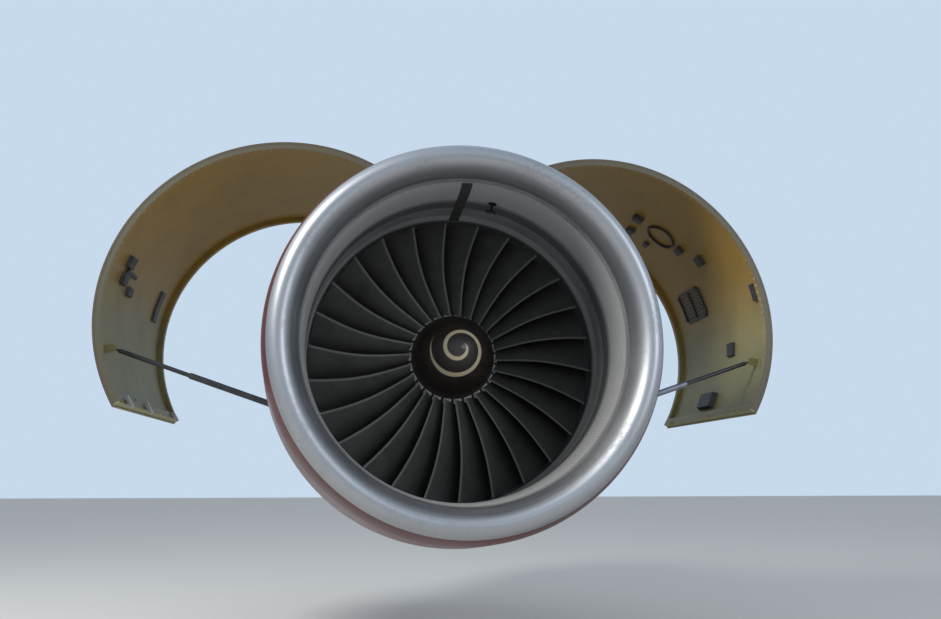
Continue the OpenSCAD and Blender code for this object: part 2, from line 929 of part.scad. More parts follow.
module tail_bearing_housing() {
    strut_count = 9;
    outer = lp_out(lp_turbine_rear);
    hub_r = 300;
    color("darkkhaki") {
        turned([
            [outer + 40, tail_front],
            [outer + 40, tail_front + 12],
            [outer + 14, tail_front + 12],
            [outer, tail_rear - 12],
            [outer + 20, tail_rear - 12],
            [outer + 20, tail_rear],
            [outer - 14, tail_rear],
            [outer, tail_front]
        ]);
        turned([
            [tail_race_r, tail_front + 60],
            [hub_r - 16, tail_front + 30],
            [hub_r - 16, tail_front + 4],
            [hub_r, tail_front + 4],
            [hub_r, tail_rear],
            [hub_r - 16, tail_rear],
            [hub_r - 16, tail_front + 60],
            [tail_race_r + 16, tail_front + 90],
            [tail_race_r + 16, tail_front + 110],
            [tail_race_r, tail_front + 110]
        ]);
        for (i = [0:strut_count - 1])
            at_clock(i * 360 / strut_count, tail_front + 50, hub_r - 6)
                linear_extrude(outer - hub_r + 8)
                    polygon(vane_outline(130, 26, 0));
    }
}

module bearing(r_in, r_out, from, length) {
    turned([
        [r_in + run, from],
        [r_out, from],
        [r_out, from + length],
        [r_in + run, from + length]
    ]);
}

module front_bearings() {
    color("goldenrod") {
        bearing(lp_shaft_r, lp_race_r - seat, core_front + 100, 30);
        bearing(ip_shaft_r, ip_race_r - seat, ip_rear + 6, 16);
        bearing(high_shaft_r, high_race_r - seat, high_front - 54, 32);
    }
}

module rear_bearings() {
    color("goldenrod") {
        bearing(high_shaft_r, high_rear_race_r - seat, bearing_wall_y - 23, 16);
        bearing(ip_shaft_r, ip_rear_race_r - seat, bearing_wall_y - 4, 16);
        bearing(lp_shaft_r, tail_race_r - seat, tail_front + 66, 40);
    }
}

// Exhaust

mixer_r = lp_out(lp_turbine_rear) - 14;
mixer_sheet = 6;
mixer_rings = 5;
mixer_per_lobe = 6;
function mixer_r_at(t, a, shift) =
    mixer_r + shift - 40 * t + 112 * pow(t, 1.3) * cos(lobe_count * a);
function mixer_ring(t, shift) = [
    for (j = [0:lobe_count * mixer_per_lobe - 1])
        let (a = j * 360 / (lobe_count * mixer_per_lobe), r = mixer_r_at(t, a, shift))
        [r * sin(a), mix(tail_rear, mixer_rear, t), r * cos(a)]
];

module exhaust_mixer() {
    n = lobe_count * mixer_per_lobe;
    m = mixer_rings;
    outer = [for (k = [0:m]) each mixer_ring(k / m, mixer_sheet)];
    inner = [for (k = [0:m]) each mixer_ring(k / m, 0)];
    shift = n * (m + 1);
    skin = [
        for (k = [0:m - 1])
            for (j = [0:n - 1])
                let (a = k * n + j, b = k * n + (j + 1) % n)
                each [
                    [a, b + n, b],
                    [a, a + n, b + n],
                    [a + shift, b + shift, b + n + shift],
                    [a + shift, b + n + shift, a + n + shift]
                ]
    ];
    ends = [
        for (j = [0:n - 1])
            let (a = j, b = (j + 1) % n, c = n * m + j, d = n * m + (j + 1) % n)
            each [
                [a, b, b + shift],
                [a, b + shift, a + shift],
                [c, d + shift, d],
                [c, c + shift, d + shift]
            ]
    ];
    color("rosybrown")
        on_axis()
            polyhedron(concat(outer, inner), concat(skin, ends));
}

module exhaust_cone() {
    base_r = 300;
    color("rosybrown")
        turned(concat(
            [[0, tail_rear]],
            [for (i = [0:8]) [base_r * cos(90 * pow(i / 8, 1.25)), mix(tail_rear, cone_tip, i / 8)]]
        ));
}

nozzle_skin = 14;
function nozzle_line(t) = [
    mix(reverser_rear_r, nozzle_exit_r, pow(t, 1.1)),
    mix(nozzle_front, nozzle_rear, t)
];

function nozzle_duct(t) = [mix(reverser_duct_r, nozzle_exit_r - 10, pow(t, 2)), nozzle_line(t)[1]];

// Outer nozzle with four struts that stand on a ring behind the turbine
module common_nozzle() {
    ring_in = 606;
    ring_out = 620;
    ring_end = tail_rear + 64;
    strut_t = 16;
    strut_len = 90;
    last = 0.9;
    color("gainsboro") {
        turned(concat(
            [for (i = [0:6]) nozzle_line(i / 6)],
            [for (i = [6:-1:0]) nozzle_duct(i / 6)],
            [for (i = [0:4]) nozzle_duct(i / 4 * last) + [nozzle_skin, 0]],
            [for (i = [4:-1:0]) nozzle_line(i / 4 * last) - [nozzle_skin, 0]]
        ));
        turned([
            [ring_in, tail_rear + seat],
            [ring_out, tail_rear + seat],
            [ring_out, ring_end],
            [ring_in, ring_end]
        ]);
        for (a = [0:90:270])
            at_clock(a, 0, 0)
                rotate([90, 0, 90])
                    translate([0, 0, -strut_t / 2])
                        linear_extrude(strut_t)
                            polygon([
                                [ring_end - 40, ring_in + 2],
                                [ring_end, ring_in + 2],
                                [nozzle_front + strut_len, reverser_duct_r - 40],
                                [nozzle_front + strut_len, reverser_duct_r + 4],
                                [nozzle_front + 10, reverser_duct_r + 4],
                                [ring_end - 6, ring_out - 2],
                                [ring_end - 40, ring_out - 2]
                            ]);
    }
}

// Accessories on the fan case

gearbox_len = 130;
gearbox_y = drive_y - gearbox_len / 2;
gearbox_r = rear_wall_r + rib_h + 4;
gearbox_h = 150;

module accessory_gearbox() {
    foot_w = 70;
    color("darkgray") {
        sector([
            [gearbox_r, gearbox_y],
            [gearbox_r + gearbox_h, gearbox_y],
            [gearbox_r + gearbox_h, gearbox_y + gearbox_len],
            [gearbox_r, gearbox_y + gearbox_len]
        ], 150, 210);
        for (a = [154, 206])
            at_clock(a, gearbox_y + 24, rear_wall_r + seat)
                translate([-foot_w / 2, 0, 0])
                    cube([foot_w, gearbox_len / 3, gearbox_r + 10 - rear_wall_r]);
    }
}

// Unit that stands on the gearbox face: a flange, a body and a smaller end
module unit(clock, r, length, forward) {
    at_clock(clock, gearbox_y + (forward ? -seat : gearbox_len + seat), gearbox_r + gearbox_h / 2)
        rotate([forward ? 90 : -90, 0, 0]) {
            cylinder(r = r, h = 16);
            cylinder(r = r * 0.86, h = length - 50);
            cylinder(r = r * 0.6, h = length);
        }
}

module starter() {
    color("lightgray")
        unit(158, 78, 300, false);
}

module generator() {
    color("dimgray")
        unit(200, 86, 420, true);
}

module gearbox_pumps() {
    color("burlywood") {
        unit(170, 66, 260, false);
        unit(182, 66, 260, false);
        unit(194, 70, 300, false);
        unit(164, 70, 280, true);
    }
}

module radial_drive_shaft() {
    low = high_shaft_r + 30;
    color("gainsboro")
        at_clock(180, drive_y, low) {
            cylinder(r = drive_r, h = gearbox_r - low - seat);
            cylinder(r = gear_y - drive_y - 0.5, h = 14);
        }
}

front_rib_r = front_wall_r + rib_h - 12;
rear_rib_r = rear_wall_r + rib_h;

module oil_tank() {
    low = flange_r + 14;
    foot = [240, 40, 60];
    color("darkgray") {
        sector([
            [low, 620],
            [low + 110, 620],
            [low + 150, 660],
            [low + 150, 940],
            [low + 110, 980],
            [low, 980]
        ], 262, 292);
        difference() {
            for (y = [690, 850])
                at_clock(277, y, low + 10 - foot[2])
                    translate([-foot[0] / 2, 0, 0])
                        cube(foot);
            drum(rear_rib_r + seat, 600, 1000);
        }
    }
}

module engine_controller() {
    low = flange_r + 10;
    color("slategray") {
        at_clock(62, 120, low)
            translate([-230, 0, 0])
                cube([460, 330, 110]);
        difference() {
            at_clock(62, 120, low - 50)
                for (x = [-190, 150])
                    translate([x, 5, 0])
                        cube([40, 320, 60]);
            drum(front_rib_r + seat, 100, 500);
        }
    }
}

pipe_r = 16;
pipe_line_r = rear_rib_r + pipe_r + seat;

// Pipe round the case, over the straight ones; both ends turn down to the case
module hoop_pipe(r, station, from, to) {
    sides = 15;
    line_r = pipe_line_r + pipe_r + seat + r;
    sector([
        for (i = [0:sides - 1])
            [line_r + r * cos(i * 360 / sides), station + r * sin(i * 360 / sides)]
    ], from, to);
    for (a = [from + 0.4, to - 0.4])
        pipe_end(a, station, line_r);
}

module pipe_end(clock, station, line_r) {
    at_clock(clock, station, rear_wall_r + seat)
        cylinder(r = pipe_r + 2, h = line_r + pipe_r + 4 - rear_wall_r);
}

module fan_case_pipes() {
    pipe_front = 1170;
    pipe_back = 1980;
    color("silver") {
        hoop_pipe(12, 1240, 215, 330);
        hoop_pipe(15, 1440, 30, 150);
        hoop_pipe(12, 1600, 200, 340);
        hoop_pipe(12, 1790, 20, 165);
        for (a = [120, 232, 300]) {
            at_clock(a, pipe_front, pipe_line_r)
                rotate([-90, 0, 0])
                    cylinder(r = pipe_r, h = pipe_back - pipe_front);
            pipe_end(a, pipe_front, pipe_line_r);
            pipe_end(a, pipe_back, pipe_line_r);
        }
    }
}

// Mounts and the beam that carries the doors

beam_in = 300;
beam_out = 352;
beam_low = hinge_z - 72;
beam_high = hinge_z + 6;

hinge_len = 90;
door_hinges = [180, 780, 1330, 1940];
reverser_hinges = [2220, 2440, 2660];

module cowl_support_beam() {
    ties = [190, 1012, 1872];
    tie = 70;
    leg_low = 1180;
    beam_front = door_front + 4;
    beam_rear = reverser_hinges[2] + 80;
    color("lightgray") {
        difference() {
            for (s = [-1, 1])
                on_axis() {
                    translate([s > 0 ? beam_in : -beam_out, beam_front, beam_low])
                        cube([beam_out - beam_in, beam_rear - beam_front, beam_high - beam_low]);
                    for (y = ties)
                        translate([s > 0 ? beam_in : -beam_out, y, leg_low])
                            cube([beam_out - beam_in, tie, beam_low + 1 - leg_low]);
                    for (y = concat(door_hinges, reverser_hinges))
                        translate([s > 0 ? beam_out - 2 : -hinge_x - 22, y - hinge_len / 2, hinge_z - 22])
                            cube([hinge_x + 24 - beam_out, hinge_len, 44]);
                }
            for (s = [-1, 1])
                for (y = concat(door_hinges, reverser_hinges))
                    on_axis()
                        translate([s * hinge_x, y - hinge_len / 2 - 1, hinge_z])
                            rotate([-90, 0, 0])
                                cylinder(r = hinge_pin_r + run, h = hinge_len + 2);
            drum(front_rib_r + seat, ties[0] - 1, ties[0] + tie + 1);
            drum(rear_rib_r + seat, ties[1] - 1, ties[2] + tie + 1);
        }
        for (y = concat(ties, [beam_rear - tie]))
            on_axis()
                translate([-beam_in - 1, y, beam_low + 10])
                    cube([2 * beam_in + 2, tie, 50]);
    }
}

module front_mount() {
    plate = 36;
    plate_x = mount_bolts_x + 80;
    plate_y = mount_bolts_y + 80;
    web = 90;
    foot_x = 170;
    color("darkslategray")
        difference() {
            union() {
                translate([-plate_x / 2, -plate_y / 2, -plate])
                    cube([plate_x, plate_y, plate]);
                translate([0, web / 2, 0])
                    rotate([90, 0, 0])
                        linear_extrude(web)
                            polygon([
                                [-plate_x / 2 + 20, -plate + 1],
                                [-foot_x, rear_wall_r - 30 - mount_z],
                                [foot_x, rear_wall_r - 30 - mount_z],
                                [plate_x / 2 - 20, -plate + 1]
                            ]);
            }
            drum(rear_wall_r + seat, mount_y - web, mount_y + web);
            for (x = [-1, 1])
                for (y = [-1, 1])
                    translate([x * mount_bolts_x / 2, y * mount_bolts_y / 2, -plate - 1])
                        cylinder(r = mount_hole_r, h = plate + 2);
        }
}

module rear_mount() {
    top_z = 840;
    base_z = lp_out(lp_turbine_rear) + 14 + seat;
    length = 110;
    color("darkslategray")
        difference() {
            at_clock(0, tail_front + 30, 0)
                difference() {
                    translate([-110, 0, base_z - 30])
                        cube([220, length, top_z - base_z + 30]);
                    for (x = [-70, 70])
                        translate([x, length / 2, top_z - 60])
                            cylinder(r = 12, h = 61);
                }
            drum(base_z, tail_front, tail_rear);
        }
}

// Fan cowl doors

latch_stations = [260, 860, 1860];
door_rear = door_front + door_len;
closed_from = door_top_clock;
closed_to = 180 - open_gap_clock;

module opened() {
    on_axis()
        translate([hinge_x, 0, hinge_z])
            rotate([0, -open_angle, 0])
                translate([-hinge_x, 0, -hinge_z])
                    translate([0, mount_y, mount_z])
                        children();
}

module hoop(y, w, h, from, to) {
    sector([
        [cowl_r - door_skin - h, y],
        [cowl_r - door_skin + 1, y],
        [cowl_r - door_skin + 1, y + w],
        [cowl_r - door_skin - h, y + w]
    ], from, to);
}

module door_shell() {
    beam_deg = 3;
    sector([
        [cowl_r - door_skin, door_front],
        [cowl_r, door_front],
        [cowl_r, door_rear],
        [cowl_r - door_skin, door_rear]
    ], closed_from, closed_to);
    for (y = [door_front + 2, door_rear - frame_w - 2])
        hoop(y, frame_w, frame_h, closed_from + 5, closed_to - 1);
    for (a = [closed_to - 0.3 - beam_deg, closed_from + 4])
        hoop(door_front + 6, door_len - 12, frame_h + 3, a, a + beam_deg);
}

module hinge_arms() {
    arm_t = 18;
    seat_r = cowl_r - door_skin + 2;
    for (y = door_hinges)
        for (side = [-1, 1])
            on_axis()
                translate([0, y + side * (hinge_len / 2 + 12) + arm_t / 2, 0])
                    rotate([90, 0, 0])
                        linear_extrude(arm_t)
                            polygon(concat(
                                [[hinge_x - 18, hinge_z - 18], [hinge_x + 112, hinge_z - 30]],
                                [for (a = [19:-1:16]) seat_r * [sin(a), cos(a)]],
                                [[hinge_x - 18, hinge_z + 18]]
                            ));
}

module hinge_pin(y, length) {
    on_axis()
        translate([hinge_x, y - length / 2, hinge_z])
            rotate([-90, 0, 0])
                cylinder(r = hinge_pin_r, h = length);
}

// Fitting on the door that takes the head of the hold-open rod
module rod_lug() {
    lug_t = 14;
    at_clock(rod_head_clock, rod_y - rod_eye_t / 2 - seat - lug_t, rod_head_r) {
        translate([-34, 0, 0])
            cube([68, lug_t, cowl_r - door_skin + 1 - rod_head_r]);
        rotate([-90, 0, 0])
            cylinder(r = 34, h = lug_t);
        translate([0, lug_t - 1, 0])
            rotate([-90, 0, 0])
                cylinder(r = 6, h = 9);
    }
}

module right_door() {
    color("darkkhaki")
        opened() {
            door_shell();
            for (y = door_hinges)
                hinge_pin(y, hinge_len + 50);
            hinge_arms();
            rod_lug();
            for (y = latch_stations)
                keeper(y);
        }
}

module left_door() {
    color("darkkhaki")
        mirrored()
            opened()
                difference() {
                    union() {
                        door_shell();
                        for (y = door_hinges)
                            hinge_pin(y, hinge_len + 50);
                        hinge_arms();
                        rod_lug();
                    }
                    for (y = latch_stations)
                        latch_pocket(y);
                }
}

// Latches: a handle and its hook turn on one pin in a pocket of the left door's lower edge.
// At the door's edge x points to the other door and z outwards from the outer skin.

latch_edge = 180 - open_gap_clock;
latch_pin = [-60, -35];
latch_pin_r = 8;
latch_w = 40;
pocket_w = 68;
handle = [-150, -40];
pocket = [-154, -16];
handle_t = 8;
keeper_pin = [14, -82];
keeper_r = 8;

module at_latch(y) {
    at_clock(latch_edge, y, cowl_r)
        children();
}

module cross_pin(p, r, length) {
    translate([p[0], -length / 2, p[1]])
        rotate([-90, 0, 0])
            cylinder(r = r, h = length);
}

module latch_pocket(y) {
    at_latch(y) {
        translate([pocket[0], -pocket_w / 2, -door_skin - frame_h - 10])
            cube([pocket[1] - pocket[0], pocket_w, door_skin + frame_h + 20]);
        cross_pin(latch_pin, latch_pin_r + run, pocket_w + 40);
    }
}

module keeper(y) {
    lug = [4, 24];
    low = keeper_pin[1] - 12;
    high = -door_skin - frame_h + 2;
    mirrored()
        at_latch(y) {
            for (side = [-1, 1])
                translate([lug[0], side * (latch_w / 2 + 8) - 3, low])
                    cube([lug[1] - lug[0], 6, high - low]);
            cross_pin(keeper_pin, keeper_r, latch_w + 20);
        }
}

module latch(y) {
    hook_z = keeper_pin[1] - keeper_r - 4;
    hook_t = 12;
    hook_x = keeper_pin[0] + keeper_r + 4;
    color("silver")
        mirrored()
            opened()
                at_latch(y) {
                    translate([0, latch_w / 2, 0])
                        rotate([90, 0, 0])
                            linear_extrude(latch_w)
                                polygon([
                                    [handle[0], -handle_t],
                                    [latch_pin[0] - 14, -handle_t],
                                    [latch_pin[0] - 14, hook_z - hook_t],
                                    [hook_x + 10, hook_z - hook_t],
                                    [hook_x + 10, keeper_pin[1] + 4],
                                    [hook_x, keeper_pin[1] + 4],
                                    [hook_x, hook_z],
                                    [latch_pin[0] + 14, hook_z],
                                    [latch_pin[0] + 14, -handle_t],
                                    [handle[1], -handle_t],
                                    [handle[1], 0],
                                    [handle[0], 0]
                                ]);
                    cross_pin(latch_pin, latch_pin_r, pocket_w + 32);
                }
}

module front_latch() {
    latch(latch_stations[0]);
}

module middle_latch() {
    latch(latch_stations[1]);
}

module rear_latch() {
    latch(latch_stations[2]);
}

// Hold-open rods: the tube turns on the fan case, the inner rod slides out to the door

rod_eye_t = 20;
rod_pin_r = 10;
rod_foot = rod_foot_r * [sin(rod_foot_clock), cos(rod_foot_clock)];
rod_head_closed = rod_head_r * [sin(rod_head_clock), cos(rod_head_clock)] - [hinge_x, hinge_z];
rod_head = [
    hinge_x + rod_head_closed[0] * cos(open_angle) - rod_head_closed[1] * sin(open_angle),
    hinge_z + rod_head_closed[0] * sin(open_angle) + rod_head_closed[1] * cos(open_angle)
];
rod_dir = rod_head - rod_foot;
rod_len = norm(rod_dir);
rod_tilt = atan2(rod_dir[1], rod_dir[0]);

// Local frame at the rod's foot: x towards the door, y to the rear, z along the foot's pin
module at_foot() {
    on_axis()
        translate([rod_foot[0], rod_y, rod_foot[1]])
            rotate([0, -rod_tilt, 0])
                children();
}

module rod_tube() {
    color("dimgray")
        at_foot()
            difference() {
                union() {
                    translate([0, 0, -rod_eye_t / 2])
                        cylinder(r = 26, h = rod_eye_t);
                    rotate([0, 90, 0])
                        translate([0, 0, 20])
                            cylinder(r = 9, h = 40);
                    rotate([0, 90, 0])
                        translate([0, 0, 50])
                            cylinder(r = rod_tube_r, h = rod_tube_len - 50);
                }
                translate([0, 0, -rod_eye_t])
                    cylinder(r = rod_pin_r + run, h = 2 * rod_eye_t);
                rotate([0, 90, 0])
                    translate([0, 0, 70])
                        cylinder(r = rod_r + run, h = rod_tube_len);
            }
}

module rod() {
    inside = 100;
    color("black")
        at_foot()
            difference() {
                union() {
                    rotate([0, 90, 0])
                        translate([0, 0, rod_tube_len - inside])
                            cylinder(r = rod_r, h = rod_len - rod_tube_len + inside - 60);
                    rotate([0, 90, 0])
                        translate([0, 0, rod_len - 70])
                            cylinder(r = rod_eye_t / 2 - 1, h = 50);
                    translate([rod_len, -rod_eye_t / 2, 0])
                        rotate([-90, 0, 0])
                            cylinder(r = 26, h = rod_eye_t);
                }
                translate([rod_len, -rod_eye_t, 0])
                    rotate([-90, 0, 0])
                        cylinder(r = 10, h = 2 * rod_eye_t);
            }
}

// Bracket on the fan case with the pin that the rod's foot turns on
module rod_bracket() {
    plate = 12;
    reach = 20;
    back = 150;
    at_foot() {
        for (side = [-1, 1])
            translate([-back, -24, side > 0 ? rod_eye_t / 2 + seat : -rod_eye_t / 2 - seat - plate])
                cube([back + reach, 48, plate]);
        translate([0, 0, -rod_eye_t / 2 - plate])
            cylinder(r = rod_pin_r, h = rod_eye_t + 2 * plate);
        translate([-back, -24, -rod_eye_t / 2 - plate])
            cube([back - 60, 48, rod_eye_t + 2 * plate]);
    }
}

module right_rod_tube() {
    rod_tube();
}

module right_rod() {
    rod();
}

module left_rod_tube() {
    mirrored()
        rod_tube();
}

module left_rod() {
    mirrored()
        rod();
}

// Thrust reverser: two hollow halves, each with two doors that pivot to turn the flow outwards

pivot_level = cowl_r - 308;
pivot_front = 660;
pivot_back = 460;
pivot_y = reverser_front + 306 + pivot_front;
pivot_clocks = [48, 132];
reverser_skin = 14;
core_cowl_rear_r = 640;
core_cowl_end = tail_rear + 60;
pylon_half = 300;

function reverser_out(t) = mix(cowl_r, reverser_rear_r, pow(t, 1.6));
function reverser_in(t) = mix(duct_rear_r, reverser_duct_r, pow(t, 1.5));
function reverser_y(t) = mix(reverser_front, reverser_rear, t);
reverser_steps = [0, 0.18, 0.36, 0.54, 0.7, 0.85, 1];

module reverser_body(inset, from, to) {
    t0 = inset / reverser_len;
    sector(concat(
        [for (t = reverser_steps) let (u = mix(t0, 1 - t0, t)) [reverser_out(u) - inset, reverser_y(u)]],
        flip([for (t = reverser_steps) let (u = mix(t0, 1 - t0, t)) [reverser_in(u) + inset, reverser_y(u)]])
    ), from, to);
}

// Space that a pivoting door fills, or with a wider edge the window round it
module pivot_prism(clock, edge, side_points) {
    front = -pivot_front - max(edge, 0);
    back = pivot_back + 21 + max(edge, 0);
    reach = 800;
    deep = 700;
    high = 500;
    at_clock(clock, pivot_y, pivot_level)
        intersection() {
            rotate([90, 0, 90])
                translate([0, 0, -reach])
                    linear_extrude(2 * reach)
                        polygon(side_points);
            translate([0, 0, -deep])
                linear_extrude(deep + high)
                    polygon([
                        [-pivot_door_w - edge, front],
                        [pivot_door_w + edge, front],
                        [pivot_door_w + edge, back],
                        [-pivot_door_w - edge, back]
                    ]);
        }
}

function window_side(edge) = [
    [-pivot_front - edge, 460],
    [-pivot_front - edge, -660],
    [pivot_back + 21 + edge, -660],
    [pivot_back + 21 + edge, 0],
    [pivot_back + panel_gap + edge, 150],
    [pivot_back + panel_gap + edge, 460]
];

// The door's front face is cut back along the circle that its inner edge swings through
swing_r = pivot_front - panel_gap;
door_side = [
    [-swing_r, 440],
    [-swing_r, 0],
    for (z = [-150, -300, -480]) [-sqrt(swing_r * swing_r - z * z) + 4, z],
    [pivot_back, -480],
    [pivot_back, 440]
];

// Hollow of a pivoting door, open at the door's front face
door_wall = 22;
door_hollow = [
    [-swing_r - 40, 440],
    [-swing_r - 40, -480],
    [pivot_back - door_wall, -480],
    [pivot_back - door_wall, 440]
];

module pivot_pins(clock, r, from, to) {
    at_clock(clock, pivot_y, pivot_level)
        for (side = [-1, 1])
            rotate([0, side * 90, 0])
                translate([0, 0, from])
                    cylinder(r = r, h = to - from);
}

module reverser_half() {
    from = door_top_clock;
    to = 180 - open_gap_clock;
    pin_mid = pivot_door_w + panel_gap;
    wall_t = 12;
    color("whitesmoke") {
        difference() {
            union() {
                difference() {
                    reverser_body(0, from, to);
                    reverser_body(reverser_skin, from + 1, to - 1);
                }
                for (c = pivot_clocks)
                    intersection() {
                        reverser_body(1, from, to);
                        pivot_prism(c, reverser_skin + panel_gap, window_side(reverser_skin));
                    }
            }
            for (c = pivot_clocks)
                pivot_prism(c, panel_gap, window_side(0));
            for (y = reverser_hinges)
                on_axis()
                    translate([hinge_x, y - hinge_len / 2 - 4, hinge_z])
                        rotate([-90, 0, 0])
                            cylinder(r = 36, h = hinge_len + 8);
        }
        for (c = pivot_clocks)
            pivot_pins(c, pivot_pin_r, pin_mid - 50, pin_mid + 10);
        for (y = reverser_hinges)
            hinge_pin(y, hinge_len + 60);
        sector([
            [core_cowl_r, core_seam + panel_gap],
            [core_cowl_r, 2500],
            [mix(core_cowl_r, core_cowl_rear_r, 0.3), 2850],
            [core_cowl_rear_r, core_cowl_end],
            [core_cowl_rear_r - wall_t, core_cowl_end],
            [mix(core_cowl_r, core_cowl_rear_r, 0.3) - wall_t, 2850],
            [core_cowl_r - wall_t, 2500],
            [core_cowl_r - wall_t, core_seam + panel_gap]
        ], asin(pylon_half / core_cowl_r), to);
        duct_wall(pylon_half, wall_t, 1, core_cowl_rear_r, core_cowl_end - 70);
        duct_wall(door_gap / 2, wall_t, -1, core_cowl_rear_r + 4, core_cowl_end);
    }
}

// Flat wall from the core cowl up or down to the duct's skin, a little shorter than the cowl
wall_inset = 5;

module duct_wall(x, t, side, low, end) {
    from = (core_seam + panel_gap + wall_inset - reverser_front) / reverser_len;
    to = (end - wall_inset - reverser_front) / reverser_len;
    steps = 6;
    on_axis()
        translate([x, 0, 0])
            rotate([90, 0, 90])
                linear_extrude(t)
                    polygon(concat(
                        [
                            for (i = [0:steps])
                                let (u = mix(from, to, i / steps))
                                [reverser_y(u), side * sqrt(pow(reverser_in(u) + 6, 2) - x * x)]
                        ],
                        [[reverser_y(to), side * low], [reverser_y(from), side * low]]
                    ));
}

module pivot_door(clock) {
    hole_from = pivot_door_w + panel_gap - 52;
    color("whitesmoke")
        difference() {
            intersection() {
                reverser_body(0, door_top_clock, 179);
                pivot_prism(clock, 0, door_side);
            }
            intersection() {
                reverser_body(door_wall, door_top_clock, 179);
                pivot_prism(clock, -60, door_hollow);
            }
            pivot_pins(clock, pivot_pin_r + run, hole_from, hole_from + 80);
        }
}

module right_reverser() {
    reverser_half();
}

module left_reverser() {
    mirrored()
        reverser_half();
}

module right_upper_pivot_door() {
    pivot_door(pivot_clocks[0]);
}

module right_lower_pivot_door() {
    pivot_door(pivot_clocks[1]);
}

module left_upper_pivot_door() {
    mirrored()
        pivot_door(pivot_clocks[0]);
}

module left_lower_pivot_door() {
    mirrored()
        pivot_door(pivot_clocks[1]);
}

inlet_lip();
inlet_outer_barrel();
inlet_liner();
inlet_probe();
inlet_bolts();
fan_case();
fan_track_liner();
rear_fan_case();
outlet_guide_vanes();
intermediate_case();
spinner();
spinner_fairing();
fan_disc();
fan_blades();
annulus_fillers();
core_fairing();
lp_shaft();
lp_turbine();
ip_compressor();
ip_turbine();
high_compressor();
high_turbine();
compressor_case();
combustor_case();
combustor_liner();
fuel_nozzles();
turbine_case();
tail_bearing_housing();
front_bearings();
rear_bearings();
exhaust_mixer();
exhaust_cone();
common_nozzle();
accessory_gearbox();
radial_drive_shaft();
starter();
generator();
gearbox_pumps();
oil_tank();
engine_controller();
fan_case_pipes();
cowl_support_beam();
front_mount();
rear_mount();
left_door();
right_door();
left_rod_tube();
left_rod();
right_rod_tube();
right_rod();
front_latch();
middle_latch();
rear_latch();
left_reverser();
right_reverser();
left_upper_pivot_door();
left_lower_pivot_door();
right_upper_pivot_door();
right_lower_pivot_door();
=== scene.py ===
import math

import bmesh
import bpy
from mathutils import Matrix, Vector


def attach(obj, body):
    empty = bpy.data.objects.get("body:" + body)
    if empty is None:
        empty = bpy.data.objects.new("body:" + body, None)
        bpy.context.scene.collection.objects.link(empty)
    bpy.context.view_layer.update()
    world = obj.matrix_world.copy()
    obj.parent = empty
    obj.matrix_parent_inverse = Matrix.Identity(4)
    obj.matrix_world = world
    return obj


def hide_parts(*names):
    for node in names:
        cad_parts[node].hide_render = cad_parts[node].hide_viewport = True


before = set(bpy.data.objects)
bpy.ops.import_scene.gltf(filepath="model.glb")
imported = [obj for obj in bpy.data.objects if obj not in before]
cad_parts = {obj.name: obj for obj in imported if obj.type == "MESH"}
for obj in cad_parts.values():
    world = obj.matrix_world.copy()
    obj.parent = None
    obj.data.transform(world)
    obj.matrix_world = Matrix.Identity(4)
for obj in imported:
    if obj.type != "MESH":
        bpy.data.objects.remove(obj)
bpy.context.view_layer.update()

# ---- Camera, floor and studio light ----
# The engine hangs by its front mount a metre over a pale floor. The camera stands low ahead of
# the inlet and a little to its left, at a person's height.

focal_px = 768.2
frame_px = 941
sensor_mm = 36
pitch_up = 12.34
yaw_right = 7.61
camera_data = bpy.data.cameras.new("camera")
camera_data.sensor_width = sensor_mm
camera_data.lens = focal_px / frame_px * sensor_mm
camera = bpy.data.objects.new("camera", camera_data)
camera.location = (-0.718, -7.976, -2.504)
camera.rotation_euler = (math.radians(90 + pitch_up), 0, -math.radians(yaw_right))
bpy.context.collection.objects.link(camera)
bpy.context.scene.camera = camera
bpy.context.scene.view_settings.view_transform = "Standard"


def add(tree, kind, inputs=(), **settings):
    node = tree.nodes.new(kind)
    for key, value in settings.items():
        setattr(node, key, value)
    for key, value in dict(inputs).items():
        if isinstance(value, bpy.types.NodeSocket):
            tree.links.new(value, node.inputs[key])
        else:
            node.inputs[key].default_value = value
    return node


def math_node(tree, operation, *values):
    return add(tree, "ShaderNodeMath", dict(enumerate(values)), operation=operation).outputs[0]


def blend(tree, factor, first, second):
    mixed = add(tree, "ShaderNodeMix", {0: factor, 6: first, 7: second}, data_type="RGBA")
    return mixed.outputs[2]


def fade(tree, value, low, high):
    inputs = {"Value": value, "From Min": low, "From Max": high}
    return add(tree, "ShaderNodeMapRange", inputs, interpolation_type="SMOOTHSTEP").outputs[0]


def put_mesh(name, bm, material):
    mesh = bpy.data.meshes.new(name)
    bm.to_mesh(mesh)
    bm.free()
    mesh.materials.append(material)
    piece = bpy.data.objects.new(name, mesh)
    bpy.context.collection.objects.link(piece)
    return piece


floor_z = -4.15
floor_half = 60
floor_paint = bpy.data.materials.new("floor_paint")
floor_paint.use_nodes = True
floor_tree = floor_paint.node_tree
floor_shader = floor_tree.nodes["Principled BSDF"]
floor_shader.inputs["Roughness"].default_value = 0.85
floor_noise = add(floor_tree, "ShaderNodeTexNoise", {"Scale": 0.6, "Detail": 4.0})
floor_colour = blend(floor_tree, floor_noise.outputs[0],
                     (0.70, 0.72, 0.74, 1), (0.62, 0.64, 0.66, 1))
floor_tree.links.new(floor_colour, floor_shader.inputs["Base Color"])

floor_mesh = bmesh.new()
bmesh.ops.create_grid(floor_mesh, x_segments=1, y_segments=1, size=floor_half,
                      matrix=Matrix.Translation((0, 0, floor_z)))
floor = put_mesh("floor", floor_mesh, floor_paint)

